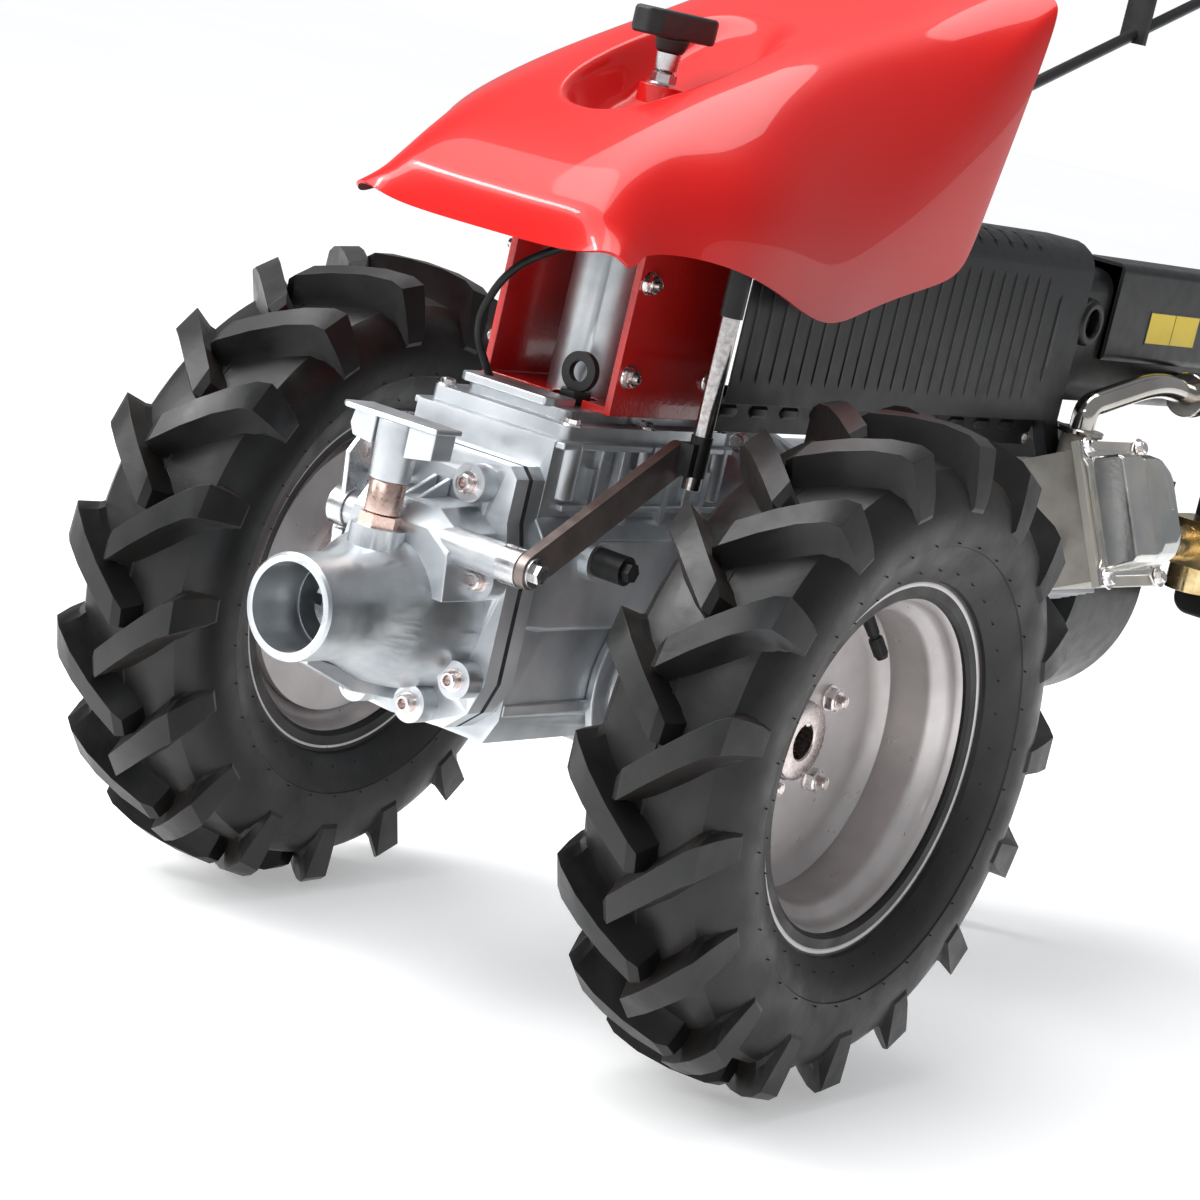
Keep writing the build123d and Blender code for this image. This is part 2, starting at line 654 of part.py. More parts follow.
# ---- handlebars ----------------------------------------------------------------------------
with BuildPart() as mast:
    disc(level(646.5), (0, pivot_y), 28, 42)
    with BuildSketch(level(650)):
        with Locations((0, pivot_y)):
            Polygon((0, 0), (-44, -122), (-22, -128), (22, -128), (44, -122), align=None)
    extrude(amount=6)
    with BuildSketch(across(-22)):
        Polygon((70, 652), (70, 686), (200, 720), (290, 790), (290, 866), (314, 866), (314, 775),
                (215, 690), (80, 652), align=None)
    extrude(amount=44)
    disc(level(640), (0, pivot_y), 14 + running, 60, mode=Mode.SUBTRACT)
    slot_plane = Plane(origin=spot(0, pivot_y, 649), x_dir=(1, 0, 0), z_dir=(0, 0, 1))
    with BuildSketch(slot_plane):
        Circle(pivot_y - clamp_y + 7.5)
        Circle(pivot_y - clamp_y - 7.5, mode=Mode.SUBTRACT)
        Polygon((0, 0), (-45, -150), (45, -150), align=None, mode=Mode.INTERSECT)
    extrude(amount=9, mode=Mode.SUBTRACT)
    disc(across(-30), (tilt_y + 2, tilt_z), 6 + running, 60, mode=Mode.SUBTRACT)
keep(mast, "mast")

bar_r = 12
with BuildPart() as handlebar_frame:
    for side in (-1, 1):
        block(across(side * 22.5), (284, 836), (372, 872), side * 8)
        tube([spot(side * 30, 350, 858), spot(side * 70, 480, 905), spot(side * 236, 780, 1000),
              spot(side * grip_x, grip_end_y, 1050)], bar_r, bend=60)
    tube([spot(-114, 560, 930), spot(114, 560, 930)], 9)
    block(across(48), (556, 812), (562, 932), 24)
    rod_along = Vector(0, 450, 173).normalized()
    with BuildSketch(Plane(origin=spot(60, 500, 797.1), z_dir=rod_along)) as rod_hole:
        Circle(5 + running)
    extrude(rod_hole.sketch, amount=120, mode=Mode.SUBTRACT)
    disc(across(-40), (tilt_y + 2, tilt_z), 6, 80)
    for side in (-1, 1):
        block(across(side * grip_x - 14), (953, 983), (977, 1018), 28)
        block(across(side * grip_x - 6.4), (940, 980), (990, 1008.5), 12.8, Mode.SUBTRACT)
keep(handlebar_frame, "handlebar_frame")

with BuildPart() as grips:
    for side in (-1, 1):
        start = Vector(*spot(side * 236, 780, 1000))
        end = Vector(*spot(side * grip_x, grip_end_y, 1050))
        along = (end - start).normalized()
        with BuildSketch(Plane(origin=end - along * 125, z_dir=along)) as ring:
            Circle(16)
            Circle(bar_r + 0.02, mode=Mode.SUBTRACT)
        extrude(ring.sketch, amount=125)
        with BuildSketch(Plane(origin=end + along * 0.02, z_dir=along)) as cap:
            Circle(16)
        extrude(cap.sketch, amount=4)
keep(grips, "grips")

with BuildPart() as console:
    block(across(-62), (520, 939), (700, 975), 124, corner=6)
keep(console, "console")

with BuildPart() as gear_rod:
    tube([spot(60, 250, 701), spot(60, 700, 874)], 5)
    disc(facing(700), (60, 874), 12, -30)
keep(gear_rod, "gear_rod")

with BuildPart() as pto_hand_lever:
    disc(across(62.3), (610, 957), 14, 10)
    tube([spot(67.3, 610, 960), spot(67.3, 622, 1050)], 4)
    disc(level(1045), (67.3, 622), 13, 26)
keep(pto_hand_lever, "pto_hand_lever")

for side, name in ((-1, "clutch_lever"), (1, "brake_lever")):
    with BuildPart() as hand_lever:
        disc(across(side * 250 - 6), (965, 995), 11, 12)
        tube([spot(side * 250, 972, 990), spot(side * 250, 1110, 994)], 4.5)
    keep(hand_lever, name)

with BuildPart() as throttle_lever:
    disc(across(219), (940, 1021), 9, 8)
    tube([spot(223, 944, 1028), spot(223, 960, 1062)], 3.5)
    disc(level(1058), (223, 960), 8, 10)
keep(throttle_lever, "throttle_lever")

# ---- wheels --------------------------------------------------------------------------------
tyre_half = [(27, rim_radius + 0.5), (39.4, rim_radius + 0.5), (39.5, 145), (56, 160), (64, 190)]
tyre_half += [(62, 225), (57, 246), (40, 255), (0, tyre_radius)]
tyre_inside = [(0, 240), (36, 238), (48, 226), (54, 192), (46, 164), (29, 146)]
for side, name in ((1, "right"), (-1, "left")):
    middle = side * track / 2

    with BuildPart() as tyre:
        with BuildSketch(level(axle_z)) as section:
            ring = [(-x, r) for x, r in tyre_half] + [(x, r) for x, r in reversed(tyre_half) if x]
            ring += [(x, r) for x, r in reversed(tyre_inside)]
            ring += [(-x, r) for x, r in tyre_inside if x]
            Polygon(*[(middle + x, r) for x, r in ring], align=None)
        revolve(section.sketch, axis=Axis(spot(0, 0, axle_z), (1, 0, 0)))
    keep(tyre, f"tyre_{name}")

    with BuildPart() as rim:
        bead = rim_radius + 0.4
        edge = rim_width / 2
        outer = [(-edge, 143), (-39.6, 143), (-39.6, bead), (-26, bead), (-20, 115), (20, 115)]
        outer += [(26, bead), (39.6, bead), (39.6, 143), (edge, 143)]
        under = bead - rim_wall
        inner = [(edge, under), (28, under), (22, 112), (-22, 112), (-28, under), (-edge, under)]
        with BuildSketch(level(axle_z)) as section:
            Polygon(*[(middle + side * x, r) for x, r in outer + inner], align=None)
        revolve(section.sketch, axis=Axis(spot(0, 0, axle_z), (1, 0, 0)))
        disc(across(side * 213.5), (0, axle_z), 113, side * 3.5, 30 + running)
        for turn in range(45, 405, 90):
            where = (stud_circle / 2 * cos(radians(turn)), axle_z + stud_circle / 2 * sin(radians(turn)))
            disc(across(side * 210), where, stud_radius + 0.3, side * 12, mode=Mode.SUBTRACT)
        tube([spot(side * 230, 22, axle_z + 111), spot(side * 248, 42, axle_z + 70)], 4)
    keep(rim, f"rim_{name}")

    with BuildPart() as hub:
        disc(across(side * 2), (0, axle_z), axle_radius, side * 219)
        disc(across(side * 172), (0, axle_z), 28, side * 31.5, axle_radius + running)
        disc(across(side * 203.5), (0, axle_z), 60, side * 10, axle_radius + running)
        disc(across(side * 213.5), (0, axle_z), 30, side * 9.5, axle_radius + running)
        for turn in range(45, 405, 90):
            where = (stud_circle / 2 * cos(radians(turn)), axle_z + stud_circle / 2 * sin(radians(turn)))
            disc(across(side * 210), where, stud_radius, side * 19)
    keep(hub, f"hub_{name}")

    with BuildPart() as wheel_nuts:
        for turn in range(45, 405, 90):
            where = (stud_circle / 2 * cos(radians(turn)), axle_z + stud_circle / 2 * sin(radians(turn)))
            hexagon(across(side * 217), where, 17, side * 8)
            disc(across(side * 216), where, stud_radius, side * 12, mode=Mode.SUBTRACT)
    keep(wheel_nuts, f"wheel_nuts_{name}")

print(len(made), "pieces")
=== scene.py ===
import json
import random
from math import cos, pi, radians, sin, tau

import bmesh
import bpy
from mathutils import Matrix, Vector


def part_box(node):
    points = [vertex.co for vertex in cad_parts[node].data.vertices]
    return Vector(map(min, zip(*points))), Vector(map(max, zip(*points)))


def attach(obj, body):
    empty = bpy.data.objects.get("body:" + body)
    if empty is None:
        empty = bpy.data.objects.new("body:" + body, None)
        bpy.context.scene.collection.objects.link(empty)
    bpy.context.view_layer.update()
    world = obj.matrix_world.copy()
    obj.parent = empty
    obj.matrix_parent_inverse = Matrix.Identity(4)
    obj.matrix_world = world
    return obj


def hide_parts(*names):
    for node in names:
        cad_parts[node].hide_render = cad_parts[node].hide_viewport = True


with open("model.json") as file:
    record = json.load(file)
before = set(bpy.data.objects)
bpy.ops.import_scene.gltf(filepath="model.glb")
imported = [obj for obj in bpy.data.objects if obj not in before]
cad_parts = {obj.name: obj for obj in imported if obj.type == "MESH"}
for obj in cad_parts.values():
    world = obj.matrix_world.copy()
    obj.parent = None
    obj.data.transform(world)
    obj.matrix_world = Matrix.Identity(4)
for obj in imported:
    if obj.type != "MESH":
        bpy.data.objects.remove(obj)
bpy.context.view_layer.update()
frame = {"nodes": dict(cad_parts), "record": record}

chance = random.Random(7)

# Shapes are worked out in millimetres from the wheel axle, on the floor, and then moved to the row frame.
low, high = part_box("rim_right")
axle_y = (low.y + high.y) / 2
axle_height = (low.z + high.z) / 2 * 1000
to_row = Matrix.Translation((0, axle_y, 0)) @ Matrix.Scale(0.001, 4)
bodies = frame["record"]["behaviour"]["bodies"]

wheel_middle = 243.5  # from the machine's middle to the middle of a tyre
crown = 258  # radius over the lugs
lug_count = 17  # in each of a tyre's two rows
stud_circle = 44.5
take_off_height = 303
take_off_flange = -222
hitch_y = -267
crank_height = 335
clamp_y = -46
guard_front, guard_back = -50, 480


# Finishes

def nodes_of(name):
    finish = bpy.data.materials.new(name)
    finish.use_nodes = True
    tree = finish.node_tree
    shader = tree.nodes["Principled BSDF"]
    where = tree.nodes.new("ShaderNodeTexCoord")
    return finish, tree, shader, where.outputs["Object"]


def noise(tree, where, scale, detail=4, distortion=0.0):
    pattern = tree.nodes.new("ShaderNodeTexNoise")
    pattern.inputs["Scale"].default_value = scale
    pattern.inputs["Detail"].default_value = detail
    pattern.inputs["Distortion"].default_value = distortion
    tree.links.new(where, pattern.inputs["Vector"])
    return pattern.outputs["Fac"]


def ramp(tree, value, stops):
    colours = tree.nodes.new("ShaderNodeValToRGB")
    colours.color_ramp.elements[0].position = stops[0][0]
    colours.color_ramp.elements[0].color = (*stops[0][1], 1)
    colours.color_ramp.elements[1].position = stops[-1][0]
    colours.color_ramp.elements[1].color = (*stops[-1][1], 1)
    for place, colour in stops[1:-1]:
        colours.color_ramp.elements.new(place).color = (*colour, 1)
    tree.links.new(value, colours.inputs["Fac"])
    return colours.outputs["Color"]


def spread(tree, value, least, most, start=0.3, end=0.7):
    ranged = tree.nodes.new("ShaderNodeMapRange")
    for name, number in zip(("From Min", "From Max", "To Min", "To Max"), (start, end, least, most)):
        ranged.inputs[name].default_value = number
    tree.links.new(value, ranged.inputs["Value"])
    return ranged.outputs["Result"]


def relief(tree, shader, *layers):
    """Bump layers of (height, strength, depth in metres), each on top of the one before."""
    normal = None
    for height, strength, depth in layers:
        bump = tree.nodes.new("ShaderNodeBump")
        bump.inputs["Strength"].default_value = strength
        bump.inputs["Distance"].default_value = depth
        tree.links.new(height, bump.inputs["Height"])
        if normal:
            tree.links.new(normal, bump.inputs["Normal"])
        normal = bump.outputs["Normal"]
    tree.links.new(normal, shader.inputs["Normal"])


def edge_wear_and_highlight(tree, colour, edge, start=0.52, end=0.6):
    """The colour, lighter along outer edges: a painted highlight where edges catch the light, and on bare
    metal also rubbed wear.
    """
    geometry = tree.nodes.new("ShaderNodeNewGeometry")
    amount = spread(tree, geometry.outputs["Pointiness"], 0, 1, start, end)
    mix = tree.nodes.new("ShaderNodeMix")
    mix.data_type = "RGBA"
    tree.links.new(amount, mix.inputs["Factor"])
    tree.links.new(colour, mix.inputs["A"])
    mix.inputs["B"].default_value = (*edge, 1)
    return mix.outputs["Result"]


def surface(name, dark, light, patch, rough, metal=0.0, grain=900, depth=0.0001, strength=0.3, edge=None,
            coat=0.0, coat_rough=0.05, specular=0.5, broad=None):
    """A finish with patchy colour, uneven gloss and a fine grain."""
    finish, tree, shader, where = nodes_of(name)
    patches = noise(tree, where, patch, 5)
    colour = ramp(tree, patches, [(0.32, dark), (0.68, light)])
    # Lighter edges: a painted highlight, and on bare metal also edge wear.
    if edge:
        colour = edge_wear_and_highlight(tree, colour, edge)
    tree.links.new(colour, shader.inputs["Base Color"])
    tree.links.new(spread(tree, noise(tree, where, patch * 2.3, 6), *rough), shader.inputs["Roughness"])
    layers = [(noise(tree, where, grain, 3), strength, depth)]
    if broad:
        layers.insert(0, (noise(tree, where, broad[0], 2), broad[1], broad[2]))
    relief(tree, shader, *layers)
    shader.inputs["Metallic"].default_value = metal
    shader.inputs["Coat Weight"].default_value = coat
    shader.inputs["Coat Roughness"].default_value = coat_rough
    shader.inputs["Specular IOR Level"].default_value = specular
    return finish


# Edge colours are painted lighter along outer edges: on bare metal and castings partly rubbed wear and
# partly a painted highlight; on the red paint and the black coat and plastic a painted highlight.
finishes = {
    "cast_aluminium": surface("sand_cast_aluminium", (0.42, 0.45, 0.475), (0.60, 0.625, 0.64), 26,
                              (0.30, 0.46), 0.9, grain=1500, depth=0.00025, strength=0.35,
                              edge=(0.80, 0.83, 0.86), broad=(240, 0.12, 0.0006)),
    "machined_steel": surface("turned_steel", (0.50, 0.50, 0.51), (0.68, 0.68, 0.68), 60, (0.2, 0.34), 1.0,
                              grain=2500, depth=0.00005),
    "zinc_fasteners": surface("pink_passivated_zinc", (0.62, 0.50, 0.47), (0.80, 0.74, 0.73), 170,
                              (0.16, 0.32), 1.0, grain=1800, depth=0.0001, edge=(0.9, 0.87, 0.86)),
    "raw_steel": surface("mill_scale_steel", (0.12, 0.10, 0.095), (0.24, 0.20, 0.185), 45, (0.34, 0.5), 0.9,
                         grain=700, depth=0.0001, edge=(0.42, 0.35, 0.32)),
    "chrome": surface("worn_chrome", (0.34, 0.32, 0.31), (0.56, 0.54, 0.53), 260, (0.08, 0.2), 1.0,
                      grain=1100, depth=0.00005, strength=0.2),
    # The edge red is lighter than the paint: a painted highlight along the bracket's edges.
    "red_paint": surface("bracket_orange_peel_red", (0.42, 0.004, 0.004), (0.56, 0.008, 0.008), 20,
                         (0.14, 0.24), grain=330, depth=0.0009, strength=0.35, coat=0.7, coat_rough=0.08,
                         edge=(0.75, 0.02, 0.015)),
    "red_hood": surface("hood_gloss_red", (0.54, 0.005, 0.004), (0.61, 0.008, 0.006), 4, (0.3, 0.38),
                        grain=1200, depth=0.00006, strength=0.12, coat=0.5, coat_rough=0.03,
                        specular=0.2, broad=(70, 0.03, 0.0008)),
    # The black coat and plastic get a lighter grey along their edges: a painted highlight.
    "black_powder_coat": surface("satin_black_powder_coat", (0.004, 0.004, 0.004), (0.009, 0.009, 0.009),
                                 30, (0.30, 0.42), grain=1600, depth=0.00016, strength=0.4,
                                 edge=(0.025, 0.025, 0.026), specular=0.34),
    "black_plastic": surface("moulded_black_plastic", (0.005, 0.005, 0.005), (0.012, 0.012, 0.012), 40,
                             (0.34, 0.5), grain=2600, depth=0.00012, strength=0.5, edge=(0.03, 0.03, 0.03),
                             specular=0.34),
    "rubber": surface("soft_black_rubber", (0.005, 0.005, 0.005), (0.013, 0.013, 0.013), 60, (0.40, 0.58),
                      grain=1900, depth=0.0001, specular=0.34),
    "cast_iron": surface("painted_head_casting", (0.36, 0.33, 0.29), (0.52, 0.49, 0.44), 40, (0.42, 0.6),
                         0.55, grain=900, depth=0.0004, strength=0.45, edge=(0.66, 0.63, 0.57)),
    "gasket": surface("pressed_fibre_gasket", (0.012, 0.012, 0.013), (0.03, 0.03, 0.032), 90, (0.6, 0.8),
                      grain=1500),
    "copper": surface("copper_bush", (0.30, 0.15, 0.11), (0.56, 0.36, 0.29), 150, (0.2, 0.4), 1.0,
                      grain=900, depth=0.0001, edge=(0.75, 0.55, 0.48)),
    "zinc_pressing": surface("bright_zinc_pressing", (0.55, 0.56, 0.55), (0.80, 0.76, 0.68), 22,
                             (0.14, 0.26), 1.0, grain=260, depth=0.0005, strength=0.16,
                             edge=(0.9, 0.9, 0.9)),
    "brass_bowl": surface("gold_passivated_bowl", (0.60, 0.42, 0.18), (0.85, 0.68, 0.38), 70, (0.16, 0.3),
                          1.0, grain=800, depth=0.0001),
    "rim_paint": surface("warm_silver_wheel_paint", (0.50, 0.465, 0.46), (0.62, 0.585, 0.575), 24,
                         (0.27, 0.4), 0.66, grain=2400, depth=0.0004, strength=0.5, coat=0.35,
                         coat_rough=0.12),
}
bore_blue = surface("blued_bore", (0.04, 0.19, 0.29), (0.20, 0.42, 0.52), 60, (0.16, 0.28), 1.0, grain=900)
# Painted shade: the hood's inner faces get a much darker copy of the hood red, standing for the shade under
# the hood.
shaded_hood_inside = surface("painted_shade_hood_inside", (0.05, 0.004, 0.004), (0.09, 0.008, 0.008), 12, (0.5, 0.7),
                      grain=500)
polished_pipe = surface("polished_exhaust_steel", (0.46, 0.43, 0.39), (0.60, 0.57, 0.53), 14, (0.08, 0.17),
                        1.0)
label_yellow = surface("blank_yellow_label", (0.80, 0.56, 0.01), (0.88, 0.64, 0.02), 30, (0.3, 0.4),
                       grain=900)


def tyre_finish():
    """Black rubber with a warm sheen on the smooth carcass, dust, fine mould scratches, and a painted
    bluish highlight along the lug edges.
    """
    finish, tree, shader, where = nodes_of("tractor_tyre_rubber")
    patches = noise(tree, where, 18, 6, 0.4)
    colour = ramp(tree, patches, [(0.3, (0.003, 0.003, 0.003)), (0.55, (0.006, 0.006, 0.006)),
                                  (0.72, (0.015, 0.013, 0.012))])
    # Painted highlight: the lug edges are painted a lighter bluish grey.
    colour = edge_wear_and_highlight(tree, colour, (0.03, 0.032, 0.034), 0.53, 0.62)
    tree.links.new(colour, shader.inputs["Base Color"])
    tree.links.new(spread(tree, noise(tree, where, 34, 5), 0.3, 0.52), shader.inputs["Roughness"])
    relief(tree, shader, (noise(tree, where, 130, 4), 0.16, 0.0012),
           (noise(tree, where, 1100, 2), 0.22, 0.0003))
    shader.inputs["Specular IOR Level"].default_value = 0.4
    shader.inputs["Sheen Weight"].default_value = 0.05
    shader.inputs["Sheen Roughness"].default_value = 0.4
    shader.inputs["Sheen Tint"].default_value = (1.0, 0.8, 0.68, 1)
    return finish


finishes["tyre_rubber"] = tyre_finish()

# Shape tools

def lathe(bm, profile, centre, axis, steps=72, closed=False):
    """A turned shape: profile points are (along the axis, radius)."""
    axis = Vector(axis).normalized()
    out = axis.orthogonal().normalized()
    ring = [bm.verts.new(Vector(centre) + axis * along + out * radius) for along, radius in profile]
    edges = [bm.edges.new(pair) for pair in zip(ring, ring[1:])]
    if closed:
        edges.append(bm.edges.new((ring[-1], ring[0])))
    bmesh.ops.spin(bm, geom=ring + edges, cent=centre, axis=axis, angle=tau, steps=steps, use_merge=True)
    bmesh.ops.remove_doubles(bm, verts=bm.verts, dist=0.002)


def bar(bm, loops):
    """A solid bar through the given loops of points."""
    rings = [[bm.verts.new(point) for point in loop] for loop in loops]
    rims = [[bm.edges.new((ring[i - 1], ring[i])) for i in range(len(ring))] for ring in rings]
    for before, after in zip(rims, rims[1:]):
        bmesh.ops.bridge_loops(bm, edges=before + after)
    for ring in (rings[0], rings[-1]):
        bm.faces.new(ring)


def pipe(bm, corners, radius, bend=30, sides=28):
    """A round pipe through the corners, each of them bent."""
    corners = [Vector(corner) for corner in corners]
    path = [corners[0]]
    for before, corner, after in zip(corners, corners[1:], corners[2:]):
        reach = min(bend, (before - corner).length * 0.48, (after - corner).length * 0.48)
        start = corner + (before - corner).normalized() * reach
        end = corner + (after - corner).normalized() * reach
        path += [start.lerp(corner, t / 6).lerp(corner.lerp(end, t / 6), t / 6) for t in range(7)]
    path.append(corners[-1])
    across = (path[1] - path[0]).orthogonal()
    loops = []
    for index, here in enumerate(path):
        ahead = (path[min(index + 1, len(path) - 1)] - path[max(index - 1, 0)]).normalized()
        across = (across - ahead * across.dot(ahead)).normalized()
        rise = ahead.cross(across)
        loops.append([here + (across * cos(tau * i / sides) + rise * sin(tau * i / sides)) * radius
                      for i in range(sides)])
    bar(bm, loops)


def slab(bm, outline, push):
    """A plate: the outline's points, pushed along a vector."""
    face = bm.faces.new([bm.verts.new(point) for point in outline])
    made = bmesh.ops.extrude_face_region(bm, geom=[face], use_keep_orig=True)["geom"]
    verts = [v for v in made if isinstance(v, bmesh.types.BMVert)]
    bmesh.ops.translate(bm, verts=verts, vec=push)


def rod(bm, start, end, radius, sides=32, tip=None):
    """A round bar or cone between two points."""
    start, end = Vector(start), Vector(end)
    turn = (end - start).to_track_quat("Z", "Y").to_matrix().to_4x4()
    place = Matrix.Translation((start + end) / 2) @ turn
    bmesh.ops.create_cone(bm, cap_ends=True, segments=sides, radius1=radius,
                          radius2=radius if tip is None else tip, depth=(end - start).length, matrix=place)


def hex_head(bm, where, axis, flats, height, collar=0, turn=0.0):
    """A hexagon bolt head with chamfered corners, on a round collar if it has one."""
    where, axis = Vector(where), Vector(axis).normalized()
    rotation = axis.to_track_quat("Z", "Y").to_matrix().to_4x4() @ Matrix.Rotation(turn, 4, "Z")
    if collar:
        rod(bm, where, where + axis * 1.2, collar, 32, collar * 0.94)
    radius = flats / 2 / cos(pi / 6)
    middle = Matrix.Translation(where + axis * height * 0.43) @ rotation
    bmesh.ops.create_cone(bm, cap_ends=True, segments=6, radius1=radius, radius2=radius,
                          depth=height * 0.86, matrix=middle)
    top = Matrix.Translation(where + axis * height * 0.93) @ rotation
    bmesh.ops.create_cone(bm, cap_ends=True, segments=24, radius1=flats / 2 * 1.03,
                          radius2=flats / 2 * 0.86, depth=height * 0.14, matrix=top)


def socket_head(bm, where, axis, radius, height):
    """A socket-head screw: plain drum, chamfer and round recess, on a flat washer."""
    where, axis = Vector(where), Vector(axis).normalized()
    lathe(bm, [(0, 0), (0, radius * 1.28), (1.4, radius * 1.28), (1.4, radius), (height - 1, radius),
               (height, radius - 1), (height, radius * 0.62), (height - 0.6, radius * 0.56),
               (height * 0.4, radius * 0.5), (height * 0.4, 0)], where, axis, 24)


def stud(bm, where, axis, radius, length):
    """A threaded end: the thread is a row of close grooves, and the tip is chamfered."""
    profile, along = [(0, 0), (0, radius)], 0.4
    while along < length - 1.2:
        profile += [(along, radius), (along + 0.45, radius * 0.84), (along + 0.9, radius)]
        along += 1.1
    lathe(bm, profile + [(length - 0.8, radius * 0.9), (length, radius * 0.7), (length, 0)], where, axis,
          24)


def piece(bm, name, finish, body, replaces=(), round_edges=0.0, steps=2, sharp=32):
    """Finishes a mesh made in machine millimetres as a piece of the model."""
    bmesh.ops.remove_doubles(bm, verts=bm.verts, dist=0.002)
    bmesh.ops.recalc_face_normals(bm, faces=bm.faces)
    bmesh.ops.transform(bm, matrix=to_row, verts=bm.verts)
    mesh = bpy.data.meshes.new(name)
    bm.to_mesh(mesh)
    bm.free()
    made = bpy.data.objects.new(name, mesh)
    bpy.context.collection.objects.link(made)
    for each in finish if isinstance(finish, (list, tuple)) else (finish,):
        mesh.materials.append(each)
    return dress(made, body, replaces, round_edges, steps, sharp)


def dress(made, body, replaces, round_edges, steps, sharp):
    """Shades a piece, rounds its edges, gives it its body, and hides the CAD nodes it stands for."""
    mesh = made.data
    mesh.shade_smooth()
    mesh.set_sharp_from_angle(angle=radians(sharp))
    if round_edges:
        soft = made.modifiers.new("rounded_edges", "BEVEL")
        soft.width = round_edges * 0.001
        soft.segments = steps
        soft.limit_method = "ANGLE"
        soft.angle_limit = radians(sharp)
        soft.harden_normals = True
        soft.miter_outer = "MITER_ARC"
    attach(made, body)
    if replaces:
        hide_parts(*replaces)
    return made


def slot_of(node):
    return frame["nodes"][node].data.materials[0].name.split(".")[0]


def body_of(node):
    return next(body for body, parts in bodies.items() if node in parts)


def softened(node, finish, width, steps=2, angle=28, machined=None):
    """A part with its edges rounded, taken from its CAD node; machined picks the finish of each face."""
    bm = bmesh.new()
    bm.from_mesh(frame["nodes"][node].data)
    bmesh.ops.remove_doubles(bm, verts=bm.verts, dist=0.00001)
    bmesh.ops.dissolve_limit(bm, angle_limit=radians(1), verts=bm.verts, edges=bm.edges)
    if machined:
        for face in bm.faces:
            face.material_index = machined(to_row.inverted() @ face.calc_center_median(), face.normal)
    mesh = bpy.data.meshes.new(node + "_cast")
    bm.to_mesh(mesh)
    bm.free()
    made = bpy.data.objects.new(node + "_cast", mesh)
    bpy.context.collection.objects.link(made)
    mesh.materials.clear()
    for each in finish if isinstance(finish, (list, tuple)) else (finish,):
        mesh.materials.append(each)
    return dress(made, body_of(node), (node,), width, steps, angle)


# Wheels

